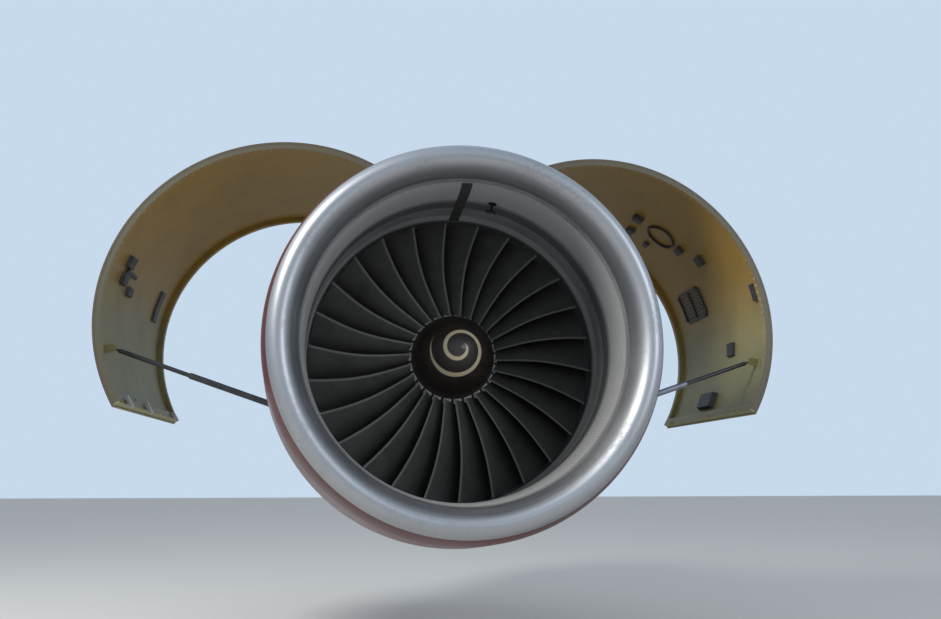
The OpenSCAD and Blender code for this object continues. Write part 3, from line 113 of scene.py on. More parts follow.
world = bpy.data.worlds.new("studio")
bpy.context.scene.world = world
world.use_nodes = True
sky = world.node_tree
sky.nodes.clear()
seen = add(sky, "ShaderNodeLightPath")
direct = math_node(sky, "MAXIMUM", seen.outputs["Is Camera Ray"], seen.outputs["Is Glossy Ray"])
direct = math_node(sky, "MAXIMUM", direct, seen.outputs["Is Transmission Ray"])
shown = add(sky, "ShaderNodeBackground", {"Color": (0.57, 0.70, 0.84, 1), "Strength": 1.0})
light = add(sky, "ShaderNodeBackground", {"Color": (0.95, 0.98, 1.0, 1), "Strength": 0.5})
both = add(sky, "ShaderNodeMixShader", {0: direct, 1: light.outputs[0], 2: shown.outputs[0]})
add(sky, "ShaderNodeOutputWorld", {"Surface": both.outputs[0]})


def lamp(name, place, target, size, power, colour):
    data = bpy.data.lights.new(name, "AREA")
    data.shape = "DISK"
    data.size = size
    data.energy = power
    data.color = colour
    light_object = bpy.data.objects.new(name, data)
    light_object.location = place
    aim = Vector(target) - Vector(place)
    light_object.rotation_euler = aim.to_track_quat("-Z", "Y").to_euler()
    bpy.context.collection.objects.link(light_object)


lamp("key", (-9.5, -6.0, 6.5), (0.4, -0.4, -1.3), 4.5, 1500, (1.0, 0.97, 0.92))
lamp("fill", (8.0, -9.0, 1.5), (0.0, -0.5, -1.5), 6.0, 350, (0.92, 0.96, 1.0))

# ---- Inlet lip ----
# One polished aluminium skin, spun to shape and riveted to the barrels behind it. It is
# brushed round the engine, keeps faint streaks of rain and dust, and is painted red where it
# meets the outer barrel, a red darker than the real one as painted shade.

axis_z = -1.490
plane_y = -1.400
highlight_r = 1.343
throat_r = 1.198
lip_outer_r = 1.492
inlet_front = 1.293
throat_ahead = 0.850
lip_joint_ahead = 0.880
lip_seam_ahead = 1.100
lip_skin = 0.006
lip_paint_r = 1.428
paint_edge = 0.003
crease = math.radians(28)
inner_steps, outer_steps = 20, 28


def mix(a, b, t):
    return a + (b - a) * t


def smooth(t):
    return (1 - math.cos(math.pi * t)) / 2


def nose_outer(a):
    return (highlight_r + (lip_outer_r - highlight_r) * math.sin(a),
            -inlet_front + (inlet_front - lip_joint_ahead) * (1 - math.cos(a)))


def nose_inner(a):
    return (highlight_r - (highlight_r - throat_r) * math.sin(a),
            -inlet_front + (inlet_front - throat_ahead) * (1 - math.cos(a)))


def wall(line, thickness):
    """A closed outline: the line of (radius, station) and its copy to the right of it."""
    back = []
    for i, point in enumerate(line):
        a = Vector(line[max(i - 1, 0)])
        b = Vector(line[min(i + 1, len(line) - 1)])
        along = (b - a).normalized()
        back.append(tuple(Vector(point) + thickness * Vector((along.y, -along.x))))
    return list(line) + back[::-1]


def turned(name, outlines, material, steps=240, start=0.0, end=360.0):
    """Outlines of (radius, station) points turned about the engine axis by clock angle."""
    whole = end - start >= 360
    bm = bmesh.new()
    for outline in outlines:
        rings = []
        for k in range(steps if whole else steps + 1):
            clock = math.radians(mix(start, end, k / steps))
            rings.append([
                bm.verts.new((r * math.sin(clock), y + plane_y, axis_z + r * math.cos(clock)))
                for r, y in outline
            ])
        count = len(outline)
        for k in range(steps):
            here, there = rings[k], rings[(k + 1) % len(rings)]
            for i in range(count):
                j = (i + 1) % count
                bm.faces.new((here[i], here[j], there[j], there[i]))
        if not whole:
            bm.faces.new(rings[0])
            bm.faces.new(rings[-1][::-1])
    bmesh.ops.remove_doubles(bm, verts=bm.verts, dist=1e-6)
    bmesh.ops.recalc_face_normals(bm, faces=bm.faces)
    piece = put_mesh(name, bm, material)
    piece.data.shade_smooth()
    piece.data.set_sharp_from_angle(angle=crease)
    return piece


def group(name, inputs, outputs):
    tree = bpy.data.node_groups.new(name, "ShaderNodeTree")
    for label, kind, value in inputs:
        socket = tree.interface.new_socket(label, in_out="INPUT", socket_type="NodeSocket" + kind)
        socket.default_value = value
    for label, kind in outputs:
        tree.interface.new_socket(label, in_out="OUTPUT", socket_type="NodeSocket" + kind)
    return tree, tree.nodes.new("NodeGroupInput"), tree.nodes.new("NodeGroupOutput")


# Clock angle, radius and station of a point on the engine
clock_tree, _, clock_out = group("engine_place", [], [
    ("Clock", "Float"), ("Radius", "Float"), ("Station", "Float"),
])
place = add(clock_tree, "ShaderNodeSeparateXYZ",
            {0: add(clock_tree, "ShaderNodeTexCoord").outputs["Object"]})
rise = math_node(clock_tree, "SUBTRACT", place.outputs["Z"], axis_z)
square = math_node(clock_tree, "MULTIPLY", rise, rise)
square = math_node(clock_tree, "MULTIPLY_ADD", place.outputs["X"], place.outputs["X"], square)
for label, value in (
    ("Clock", math_node(clock_tree, "ARCTAN2", place.outputs["X"], rise)),
    ("Radius", math_node(clock_tree, "SQRT", square)),
    ("Station", math_node(clock_tree, "SUBTRACT", place.outputs["Y"], plane_y)),
):
    clock_tree.links.new(value, clock_out.inputs[label])

# Fine lines that run round the engine, from turning or polishing
streak_tree, streak_in, streak_out = group(
    "round_streaks",
    [("Lines", "Float", 60.0)],
    [("Streak", "Float")],
)
at = add(streak_tree, "ShaderNodeGroup", node_tree=clock_tree)
lines = streak_in.outputs["Lines"]
streak_at = add(streak_tree, "ShaderNodeCombineXYZ", {
    0: math_node(streak_tree, "MULTIPLY", at.outputs["Radius"], lines),
    1: math_node(streak_tree, "MULTIPLY", at.outputs["Station"], lines),
    2: math_node(streak_tree, "MULTIPLY", math_node(streak_tree, "SINE", at.outputs["Clock"]), 1.5),
})
streak_noise = add(streak_tree, "ShaderNodeTexNoise",
                   {"Vector": streak_at.outputs[0], "Scale": 1.0, "Detail": 5.0, "Roughness": 0.6})
streak = fade(streak_tree, streak_noise.outputs[0], 0.3, 0.7)
streak_tree.links.new(streak, streak_out.inputs["Streak"])

# Soil that gathers in patches over a clean colour, with a finer grain in it
soil_tree, soil_in, soil_out = group(
    "soiled",
    [("Clean", "Color", (0.5, 0.5, 0.5, 1)),
     ("Soil", "Color", (0.1, 0.1, 0.1, 1)),
     ("Patches", "Float", 3.0), ("Amount", "Float", 0.4)],
    [("Colour", "Color"), ("Mask", "Float"), ("Grain", "Float")],
)
soil_at = add(soil_tree, "ShaderNodeTexCoord").outputs["Object"]
patches = add(soil_tree, "ShaderNodeTexNoise", {
    "Vector": soil_at, "Scale": soil_in.outputs["Patches"], "Detail": 7.0, "Roughness": 0.62})
grain = add(soil_tree, "ShaderNodeTexNoise", {
    "Vector": soil_at, "Scale": math_node(soil_tree, "MULTIPLY", soil_in.outputs["Patches"], 22.0),
    "Detail": 3.0})
patch_mask = math_node(soil_tree, "MULTIPLY", fade(soil_tree, patches.outputs[0], 0.4, 0.72),
                       fade(soil_tree, grain.outputs[0], 0.2, 0.75))
patch_mask = math_node(soil_tree, "MULTIPLY", patch_mask, soil_in.outputs["Amount"])
for label, value in (
    ("Colour", blend(soil_tree, patch_mask, soil_in.outputs["Clean"], soil_in.outputs["Soil"])),
    ("Mask", patch_mask),
    ("Grain", grain.outputs[0]),
):
    soil_tree.links.new(value, soil_out.inputs[label])


def finish(name, metallic=0.0, **sockets):
    material = bpy.data.materials.new(name)
    material.use_nodes = True
    shader = material.node_tree.nodes["Principled BSDF"]
    shader.inputs["Metallic"].default_value = metallic
    for label, value in sockets.items():
        shader.inputs[label.replace("_", " ")].default_value = value
    return material, material.node_tree, shader


def soiled(tree, clean, soil, patches=3.0, amount=0.4):
    return add(tree, "ShaderNodeGroup", {
        "Clean": clean if isinstance(clean, bpy.types.NodeSocket) else (*clean, 1),
        "Soil": (*soil, 1), "Patches": patches, "Amount": amount}, node_tree=soil_tree)


def round_streaks(tree, lines):
    return add(tree, "ShaderNodeGroup", {"Lines": lines}, node_tree=streak_tree).outputs["Streak"]


def engine_place(tree):
    return add(tree, "ShaderNodeGroup", node_tree=clock_tree)


def connect(tree, shader, colour=None, roughness=None, height=None, depth=0.002, strength=0.3):
    if colour is not None:
        tree.links.new(colour, shader.inputs["Base Color"])
    if roughness is not None:
        tree.links.new(roughness, shader.inputs["Roughness"])
    if height is not None:
        bump = add(tree, "ShaderNodeBump",
                   {"Height": height, "Distance": depth, "Strength": strength})
        tree.links.new(bump.outputs[0], shader.inputs["Normal"])


lip_polish, tree, shader = finish("lip_polish", Coat_Roughness=0.2)
soil = soiled(tree, (0.37, 0.375, 0.39), (0.22, 0.22, 0.225), 1.6, 0.7)
streak = round_streaks(tree, 90.0)
colour = blend(tree, math_node(tree, "MULTIPLY", streak, 0.35),
               soil.outputs["Colour"], (0.47, 0.475, 0.49, 1))
roughness = math_node(tree, "MULTIPLY_ADD", streak, 0.08, 0.42)
roughness = math_node(tree, "MULTIPLY_ADD", soil.outputs["Mask"], 0.2, roughness)
painted = fade(tree, engine_place(tree).outputs["Radius"], lip_paint_r, lip_paint_r + paint_edge)
# Red of the lip's painted band, darker than the real red as painted shade, with its soil
paint = soiled(tree, (0.085, 0.011, 0.010), (0.034, 0.020, 0.018), 1.4, 0.75)
connect(tree, shader, blend(tree, painted, colour, paint.outputs["Colour"]),
        roughness, streak, 0.0004, 0.25)
tree.links.new(math_node(tree, "SUBTRACT", 1.0, painted), shader.inputs["Metallic"])
tree.links.new(math_node(tree, "MULTIPLY", painted, 0.15), shader.inputs["Coat Weight"])

seam_angle = math.acos(1 - (inlet_front - lip_seam_ahead) / (inlet_front - throat_ahead))
lip_line = [nose_inner(seam_angle * i / inner_steps) for i in range(inner_steps, 0, -1)]
lip_line += [nose_outer(math.pi / 2 * i / outer_steps) for i in range(outer_steps + 1)]
lip = turned("lip_skin", [wall(lip_line, lip_skin)], lip_polish)
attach(lip, "structure")
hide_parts("inlet_lip")

# ---- Outer barrel of the inlet ----
# A riveted composite cowl behind the lip, painted red under a clear coat and closed at both
# ends by a bulkhead. Its red is darker than the real red, as painted shade. Rows of low rivets
# hold it to the lip and to the bulkheads.

cowl_r = 1.578
door_front = 0.038
panel_gap = 0.006
barrel_skin = 0.014
barrel_joint = -0.46
barrel_steps = 16
bulkhead = 0.006
front_bulkhead_behind = 0.040
front_bulkhead_inset = 0.002
rear_bulkhead_ahead = 0.060
liner_wall = 0.034
track_r = 1.240
inlet_rear = -0.010
rib_t = 0.010
seat = 0.0003
rivet_head = 0.0055
# Red of the cowls, darker than the real red as painted shade, with its soil colour, patches and
# amount
shade_darkened_red = ((0.100, 0.012, 0.011), (0.036, 0.020, 0.018), 1.4, 0.75)

cowl_paint, tree, shader = finish("cowl_paint", Coat_Weight=0.25, Coat_Roughness=0.2)
soil = soiled(tree, *shade_darkened_red)
at = engine_place(tree)
joint = math_node(tree, "ABSOLUTE",
                  math_node(tree, "SUBTRACT", at.outputs["Station"], barrel_joint))
joint = fade(tree, joint, 0.006, 0.003)
connect(tree, shader, blend(tree, joint, soil.outputs["Colour"], (0.02, 0.015, 0.015, 1)),
        math_node(tree, "MULTIPLY_ADD", soil.outputs["Grain"], 0.2, 0.28),
        math_node(tree, "SUBTRACT", soil.outputs["Grain"], joint), 0.0015, 0.2)


def barrel_r(station):
    """The outer barrel's radius, which swells from the lip to the full cowl."""
    share = (station + lip_joint_ahead) / (door_front - panel_gap + lip_joint_ahead)
    return mix(lip_outer_r, cowl_r, math.sin(math.pi / 2 * share))


barrel_line = []
for i in range(barrel_steps + 1):
    y = mix(-lip_joint_ahead, door_front - panel_gap, i / barrel_steps)
    barrel_line.append((barrel_r(y), y))
front_in = nose_inner(seam_angle)
front_low = (front_in[0] + liner_wall + seat, front_in[1] + front_bulkhead_behind)
front_high = (lip_outer_r - barrel_skin / 2, -lip_joint_ahead + front_bulkhead_inset)
rear_high = barrel_line[-3][0] - barrel_skin - seat
rear_low = track_r + liner_wall + seat
rear_face = inlet_rear - rear_bulkhead_ahead
barrel = turned("outer_barrel", [
    barrel_line + [(r - barrel_skin, y) for r, y in barrel_line[::-1]],
    [front_high, (front_high[0], front_high[1] + bulkhead),
     (front_low[0], front_low[1] + bulkhead), front_low],
    [(rear_low, rear_face), (rear_high, rear_face),
     (rear_high, rear_face + bulkhead), (rear_low, rear_face + bulkhead)],
], cowl_paint)
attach(barrel, "structure")
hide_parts("inlet_outer_barrel")

# Rows of fasteners on a round surface: low cones set out by clock angle and along the engine
field = bpy.data.node_groups.new("fastener_field", "GeometryNodeTree")
field_inputs = {
    "Round": ("Int", 24), "Along": ("Int", 1), "From": ("Float", 0.0), "To": ("Float", 2 * math.pi),
    "Front": ("Float", 0.0), "Rear": ("Float", 1.0), "Radius": ("Float", 1.0),
    "Head": ("Float", 0.008), "Height": ("Float", 0.003), "Outwards": ("Float", 1.0),
    "Axis Height": ("Float", axis_z), "Sides": ("Int", 8), "Finish": ("Material", None),
}
field.interface.new_socket("Geometry", in_out="INPUT", socket_type="NodeSocketGeometry")
field_ids = {}
for label, (kind, value) in field_inputs.items():
    socket = field.interface.new_socket(label, in_out="INPUT", socket_type="NodeSocket" + kind)
    if value is not None:
        socket.default_value = value
    field_ids[label] = socket.identifier
field.interface.new_socket("Geometry", in_out="OUTPUT", socket_type="NodeSocketGeometry")
given = field.nodes.new("NodeGroupInput").outputs
number = add(field, "GeometryNodeInputIndex").outputs[0]
column = math_node(field, "MODULO", number, given["Round"])
row = math_node(field, "FLOOR", math_node(field, "DIVIDE", number, given["Round"]))


def part_way(start, end, step, count):
    """Where one of a count of steps stands between a start and an end."""
    gaps = math_node(field, "MAXIMUM", math_node(field, "SUBTRACT", count, 1.0), 1.0)
    share = math_node(field, "DIVIDE", step, gaps)
    return math_node(field, "MULTIPLY_ADD", math_node(field, "SUBTRACT", end, start), share, start)


turn = part_way(given["From"], given["To"], column, given["Round"])
level = part_way(given["Front"], given["Rear"], row, given["Along"])
sine, cosine = math_node(field, "SINE", turn), math_node(field, "COSINE", turn)
spot = add(field, "ShaderNodeCombineXYZ", {
    0: math_node(field, "MULTIPLY", given["Radius"], sine),
    1: level,
    2: math_node(field, "MULTIPLY_ADD", given["Radius"], cosine, given["Axis Height"]),
})
facing = add(field, "ShaderNodeCombineXYZ", {
    0: math_node(field, "MULTIPLY", sine, given["Outwards"]),
    2: math_node(field, "MULTIPLY", cosine, given["Outwards"]),
})
spots = add(field, "GeometryNodePoints", {
    "Count": math_node(field, "MULTIPLY", given["Round"], given["Along"]),
    "Position": spot.outputs[0]})
head = add(field, "GeometryNodeMeshCone", {
    "Vertices": given["Sides"], "Radius Bottom": given["Head"], "Depth": given["Height"],
    "Radius Top": math_node(field, "MULTIPLY", given["Head"], 0.6)})
heads = add(field, "GeometryNodeInstanceOnPoints", {
    "Points": spots.outputs[0], "Instance": head.outputs[0],
    "Rotation": add(field, "FunctionNodeAlignRotationToVector",
                    {"Vector": facing.outputs[0]}, axis="Z").outputs[0]})
field_real = add(field, "GeometryNodeRealizeInstances", {0: heads.outputs[0]})
field_done = add(field, "GeometryNodeSetMaterial",
                 {"Geometry": field_real.outputs[0], "Material": given["Finish"]})
add(field, "NodeGroupOutput", {0: field_done.outputs[0]})


def grown(tree, ids, values, base=None):
    """The mesh that a tree makes with these inputs."""
    holder = bpy.data.objects.new("holder", base or bpy.data.meshes.new("holder"))
    bpy.context.collection.objects.link(holder)
    modifier = holder.modifiers.new("grow", "NODES")
    modifier.node_group = tree
    for label, value in values.items():
        modifier[ids[label]] = value
    holder.update_tag()
    graph = bpy.context.evaluated_depsgraph_get()
    mesh = bpy.data.meshes.new_from_object(holder.evaluated_get(graph))
    bpy.data.objects.remove(holder)
    return mesh


def fasteners(name, rows, body, material):
    """One piece of all the rows, each a dict of the field's inputs."""
    bm = bmesh.new()
    for values in rows:
        bm.from_mesh(grown(field, field_ids, {"Finish": material, **values}))
    piece = put_mesh(name, bm, material)
    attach(piece, body)
    return piece


def full_ring(count, station, radius, **more):
    """The field's inputs for one closed ring of fasteners."""
    return {"Round": count, "From": 0.0, "To": 2 * math.pi * (1 - 1 / count),
            "Front": station + plane_y, "Rear": station + plane_y, "Radius": radius, **more}


def worn_finish(name, clean, soil, patches, amount, roughness, spread,
                depth=None, strength=0.3, metallic=0.0, **sockets):
    """A soiled finish that the grain makes rougher and, where it has a depth, uneven."""
    material, tree, shader = finish(name, metallic, **sockets)
    worn = soiled(tree, clean, soil, patches, amount)
    rough = math_node(tree, "MULTIPLY_ADD", worn.outputs["Grain"], spread, roughness)
    height = worn.outputs["Grain"] if depth else None
    connect(tree, shader, worn.outputs["Colour"], rough, height, depth, strength)
    return material


rivet_steel = worn_finish("rivet_steel", (0.42, 0.40, 0.38), (0.12, 0.06, 0.05), 9.0, 0.7,
                          roughness=0.25, spread=0.3, metallic=1.0)

joint_row = 0.015
barrel_rows = [
    full_ring(count, station, barrel_r(station), Head=rivet_head, Height=height)
    for count, station, height in (
        (180, -0.862, 0.0016), (150, barrel_joint - joint_row, 0.0016),
        (150, barrel_joint + joint_row, 0.0016), (180, -0.060, 0.0010))
]
fasteners("barrel_rivets", barrel_rows, "structure", rivet_steel)

# ---- Inner barrel ----
# A sound-absorbing wall of drilled composite behind the lip, in darker and lighter rings, with
# a strip over its joint at the top and a flange bolted to the fan case.

pale_bands = ((-1.04, -0.68), (-0.20, -0.06))
dark_bands = ((-0.62, -0.44), (-0.05, 0.05))
splice_front, splice_rear = -1.04, -0.04
splice_half_angle = 2.0
band_edge = 0.006
mouth_steps, liner_steps = 10, 20
flange_r = 1.3023
liner_finish, tree, shader = finish("drilled_liner", Roughness=0.5)
at = engine_place(tree)
soil = soiled(tree, (0.235, 0.240, 0.245), (0.090, 0.090, 0.092), 2.2, 0.7)


def band(tree, station, front, rear):
    """1 between two stations, fading to 0 over their edges."""
    return math_node(tree, "MULTIPLY",
                     fade(tree, station, front - band_edge, front + band_edge),
                     fade(tree, station, rear + band_edge, rear - band_edge))


station = at.outputs["Station"]
pale = math_node(tree, "MAXIMUM", *(band(tree, station, *span) for span in pale_bands))
dark = math_node(tree, "MAXIMUM", *(band(tree, station, *span) for span in dark_bands))
colour = blend(tree, math_node(tree, "MULTIPLY", pale, 0.6),
               soil.outputs["Colour"], (0.46, 0.47, 0.48, 1))
colour = blend(tree, math_node(tree, "MULTIPLY", dark, 0.7), colour, (0.040, 0.042, 0.045, 1))
holes_at = add(tree, "ShaderNodeCombineXYZ", {
    0: math_node(tree, "MULTIPLY", at.outputs["Clock"], throat_r), 1: station})
holes = add(tree, "ShaderNodeTexVoronoi",
            {"Vector": holes_at.outputs[0], "Scale": 70.0, "Randomness": 0.0})
hole = fade(tree, holes.outputs["Distance"], 0.32, 0.22)
colour = blend(tree, math_node(tree, "MULTIPLY", hole, 0.55), colour, (0.02, 0.02, 0.02, 1))
connect(tree, shader, colour, math_node(tree, "MULTIPLY_ADD", soil.outputs["Grain"], 0.25, 0.3),
        math_node(tree, "SUBTRACT", 1.0, hole), 0.001, 0.3)

liner_line = [
    nose_inner(mix(seam_angle, math.pi / 2, i / mouth_steps)) for i in range(mouth_steps + 1)
]
liner_line += [
    (mix(throat_r, track_r, smooth(share)), mix(-throat_ahead, inlet_rear, share))
    for share in (i / liner_steps for i in range(1, liner_steps + 1))
]
liner = turned("inner_barrel", [
    liner_line
    + [(flange_r, inlet_rear), (flange_r, inlet_rear - rib_t),
       (track_r + liner_wall, inlet_rear - rib_t)]
    + [(r + liner_wall, y) for r, y in liner_line[-2::-1]]
], liner_finish)
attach(liner, "structure")
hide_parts("inlet_liner")

splice_finish = worn_finish("splice_strip", (0.030, 0.030, 0.032), (0.075, 0.072, 0.070), 14.0, 0.8,
                            roughness=0.45, spread=0.3, depth=0.001, strength=0.4)
splice_line = [point for point in liner_line if splice_front < point[1] < splice_rear]
splice = turned("liner_splice", [
    [(r - 0.003, y) for r, y in splice_line] + [(r + 0.004, y) for r, y in splice_line[::-1]]
], splice_finish, steps=6, start=-splice_half_angle, end=splice_half_angle)
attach(splice, "structure")


def dress(material, *nodes):
    """Give CAD nodes that stay as they are a finish."""
    for node in nodes:
        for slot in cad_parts[node].material_slots:
            slot.material = material


probe_finish = worn_finish("probe_metal", (0.018, 0.018, 0.020), (0.05, 0.048, 0.045), 25.0, 0.5,
                           roughness=0.3, spread=0.3, metallic=0.7)
dress(probe_finish, "inlet_probe")
dress(rivet_steel, "inlet_bolts")

# ---- Fan case and its rubbing track ----
# Two machined ring cases with stiffening ribs, bolted to each other behind the fan and to the
# inlet ahead of it. A dark abradable track lines the front one where the blade tips run.


def round_copy(node, name, material, centre=(0.0, 0.0, axis_z)):
    """A merged copy of a CAD node that is shaded round about an axis along Y through a centre.

    Only faces that look straight at the axis or away from it are shaded so. The others, such as
    edges and ribs, stay flat.
    """
    weld, flat_end, straight = 2e-5, 0.2, 0.99
    bm = bmesh.new()
    bm.from_mesh(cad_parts[node].data)
    bmesh.ops.remove_doubles(bm, verts=bm.verts, dist=weld)
    piece = put_mesh(name, bm, material)
    mesh = piece.data
    normals = []
    for face in mesh.polygons:
        face.material_index = 0
        across = Vector((face.normal.x, 0, face.normal.z))
        for corner in face.loop_indices:
            spot = mesh.vertices[mesh.loops[corner].vertex_index].co
            out = Vector((spot.x - centre[0], 0, spot.z - centre[2])).normalized()
            facing = across.normalized().dot(out) if across.length > flat_end else 0
            rounded = out * across.length * math.copysign(1, facing) + Vector((0, face.normal.y, 0))
            normals.append(rounded if abs(facing) > straight else face.normal.copy())
    mesh.shade_smooth()
    mesh.normals_split_custom_set(normals)
    return piece


def stand_in(node, name, body, material, centre=(0.0, 0.0, axis_z)):
    """Put the round copy of a CAD node in its place."""
    piece = round_copy(node, name, material, centre)
    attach(piece, body)
    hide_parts(node)


case_finish, tree, shader = finish("case_paint", metallic=0.35)
soil = soiled(tree, (0.30, 0.31, 0.31), (0.09, 0.08, 0.07), 3.5, 0.8)
streak = round_streaks(tree, 40.0)
colour = blend(tree, math_node(tree, "MULTIPLY", streak, 0.25),
               soil.outputs["Colour"], (0.42, 0.43, 0.43, 1))
connect(tree, shader, colour,
        math_node(tree, "MULTIPLY_ADD", soil.outputs["Grain"], 0.25, 0.32), streak, 0.0006)
dress(case_finish, "fan_case", "rear_fan_case", "intermediate_case")

track_finish, tree, shader = finish("rubbing_track")
soil = soiled(tree, (0.035, 0.036, 0.038), (0.10, 0.10, 0.10), 5.0, 0.5)
streak = round_streaks(tree, 70.0)
connect(tree, shader, soil.outputs["Colour"],
        math_node(tree, "MULTIPLY_ADD", streak, 0.2, 0.5), streak, 0.001)
dress(track_finish, "fan_track_liner")

bolts_per_flange = 72
flange_bolts = [
    full_ring(bolts_per_flange, station, radius, Head=head, Height=height, Sides=6)
    for station, radius, head, height in (
        (0.5455, 1.2903, 0.010, 0.009), (0.585, 1.2683, 0.009, 0.007),
        (1.18, 1.2663, 0.007, 0.006), (1.58, 1.2663, 0.007, 0.006), (1.78, 1.2663, 0.007, 0.006))
]
fasteners("case_bolts", flange_bolts, "structure", rivet_steel)

# ---- Fan ----
# Twenty-six wide hollow titanium blades stand in a disc, with a filler between each pair. A black
# spinner is screwed on ahead of them, with a cream swirl that shows when the fan turns.

fan_r = 1.235
blade_count = 26
hub_front = -0.056
hub_back = 0.236
hub_front_r = 0.361
hub_rear_r = 0.492
fairing_front = hub_front - 0.066
spinner_base_r = hub_front_r - 0.020
spinner_tip = hub_front - 0.520
hub_chord, tip_chord = 0.340, 0.470
hub_stagger, tip_stagger = 24, 61
hub_thickness, tip_thickness = 0.038, 0.011
hub_camber, tip_camber = 0.046, 0.016
root_setback, tip_setback, belly_setback = 0.004, 0.014, 0.026
forward_lean, backward_lean = 0.034, 0.040


def hub_line(y):
    """The radius of the hub under the blades at a station."""
    return mix(hub_front_r, hub_rear_r, (y - hub_front) / (hub_back - hub_front))


def blade_point(span, chordwise, side):
    """A point of the blade at the top of the fan, from hub to tip and front to rear edge."""
    chord = mix(hub_chord, tip_chord, span)
    stagger = math.radians(mix(hub_stagger, tip_stagger, span ** 0.8))
    thickness = mix(hub_thickness, tip_thickness, span ** 0.6)
    wave = math.sin(math.pi * chordwise)
    across = mix(hub_camber, tip_camber, span) * wave + side * 0.5 * thickness * wave
    swell = math.sin(math.pi * span)
    front = mix(hub_front + root_setback, tip_setback, span) + belly_setback * swell
    lean = forward_lean * swell - backward_lean * span * span
    y = front + chordwise * chord * math.cos(stagger) - across * math.sin(stagger)
    x = lean + (chordwise - 0.5) * chord * math.sin(stagger) + across * math.cos(stagger)
    r = mix(hub_line(y) + seat, fan_r, span)
    return Vector((-r * math.sin(x / r), y + plane_y, r * math.cos(x / r)))


blade_finish, tree, shader = finish("blade_titanium", metallic=0.6)
along = add(tree, "ShaderNodeSeparateXYZ", {0: add(tree, "ShaderNodeTexCoord").outputs["UV"]})
# Titanium grey made dark as painted shade for the depth of the inlet, with darker soil patches
soil = soiled(tree, (0.095, 0.094, 0.090), (0.040, 0.039, 0.037), 4.0, 0.8)
brush_at = add(tree, "ShaderNodeCombineXYZ", {
    0: math_node(tree, "MULTIPLY", along.outputs["X"], 3.0),
    1: math_node(tree, "MULTIPLY", along.outputs["Y"], 160.0)})
brush = add(tree, "ShaderNodeTexNoise",
            {"Vector": brush_at.outputs[0], "Scale": 1.0, "Detail": 3.0})
edge = fade(tree, along.outputs["X"], 0.055, 0.035)
colour = blend(tree, edge, soil.outputs["Colour"], (0.22, 0.22, 0.215, 1))
connect(tree, shader, colour,
        math_node(tree, "MULTIPLY_ADD", brush.outputs[0], 0.22, 0.34), brush.outputs[0], 0.0005)

chord_steps, span_steps = 14, 22
blade_crease = math.radians(50)
bm = bmesh.new()
uv = bm.loops.layers.uv.new("UVMap")
sections = []
for k in range(span_steps + 1):
    loop = []
    for j in range(2 * chord_steps):
        share = j / chord_steps if j <= chord_steps else 2 - j / chord_steps
        chordwise = smooth(share)
        side = 1 if j < chord_steps else -1
        loop.append((bm.verts.new(blade_point(k / span_steps, chordwise, side)), chordwise))
    sections.append(loop)
for k in range(span_steps):
    for j in range(2 * chord_steps):
        j2 = (j + 1) % (2 * chord_steps)
        corners = [(sections[k][j], k), (sections[k][j2], k),
                   (sections[k + 1][j2], k + 1), (sections[k + 1][j], k + 1)]
        face = bm.faces.new([vert for (vert, _), _ in corners])
        for corner, ((_, chordwise), level) in zip(face.loops, corners):
            corner[uv].uv = (chordwise, level / span_steps)
for loop, level in ((sections[0], 0), (sections[-1], 1)):
    face = bm.faces.new([vert for vert, _ in loop])
    for corner, (_, chordwise) in zip(face.loops, loop):
        corner[uv].uv = (chordwise, level)
bmesh.ops.recalc_face_normals(bm, faces=bm.faces)
blade_mesh = bpy.data.meshes.new("blade")
bm.to_mesh(blade_mesh)
bm.free()
blade_mesh.shade_smooth()
blade_mesh.set_sharp_from_angle(angle=blade_crease)

# Copies of one piece set out evenly round the engine axis
wheel = bpy.data.node_groups.new("set_round_the_axis", "GeometryNodeTree")
wheel.interface.new_socket("Geometry", in_out="INPUT", socket_type="NodeSocketGeometry")
wheel_ids = {
    label: wheel.interface.new_socket(
        label, in_out="INPUT", socket_type="NodeSocket" + kind).identifier
    for label, kind in (("Count", "Int"), ("Axis Height", "Float"), ("Finish", "Material"))
}
wheel.interface.new_socket("Geometry", in_out="OUTPUT", socket_type="NodeSocketGeometry")
given = wheel.nodes.new("NodeGroupInput").outputs
hub = add(wheel, "ShaderNodeCombineXYZ", {2: given["Axis Height"]})
step = math_node(wheel, "DIVIDE", 2 * math.pi, given["Count"])
angle = math_node(wheel, "MULTIPLY", add(wheel, "GeometryNodeInputIndex").outputs[0], step)
spots = add(wheel, "GeometryNodePoints", {"Count": given["Count"], "Position": hub.outputs[0]})
copies = add(wheel, "GeometryNodeInstanceOnPoints", {
    "Points": spots.outputs[0], "Instance": given["Geometry"],
    "Rotation": add(wheel, "ShaderNodeCombineXYZ", {1: angle}).outputs[0]})
wheel_real = add(wheel, "GeometryNodeRealizeInstances", {0: copies.outputs[0]})
wheel_done = add(wheel, "GeometryNodeSetMaterial",
                 {"Geometry": wheel_real.outputs[0], "Material": given["Finish"]})
add(wheel, "NodeGroupOutput", {0: wheel_done.outputs[0]})

fan = bpy.data.objects.new("fan_blade_set", grown(
    wheel, wheel_ids,
    {"Count": blade_count, "Axis Height": axis_z, "Finish": blade_finish}, blade_mesh))
bpy.context.collection.objects.link(fan)
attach(fan, "low_pressure_rotor")
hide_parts("fan_blades")

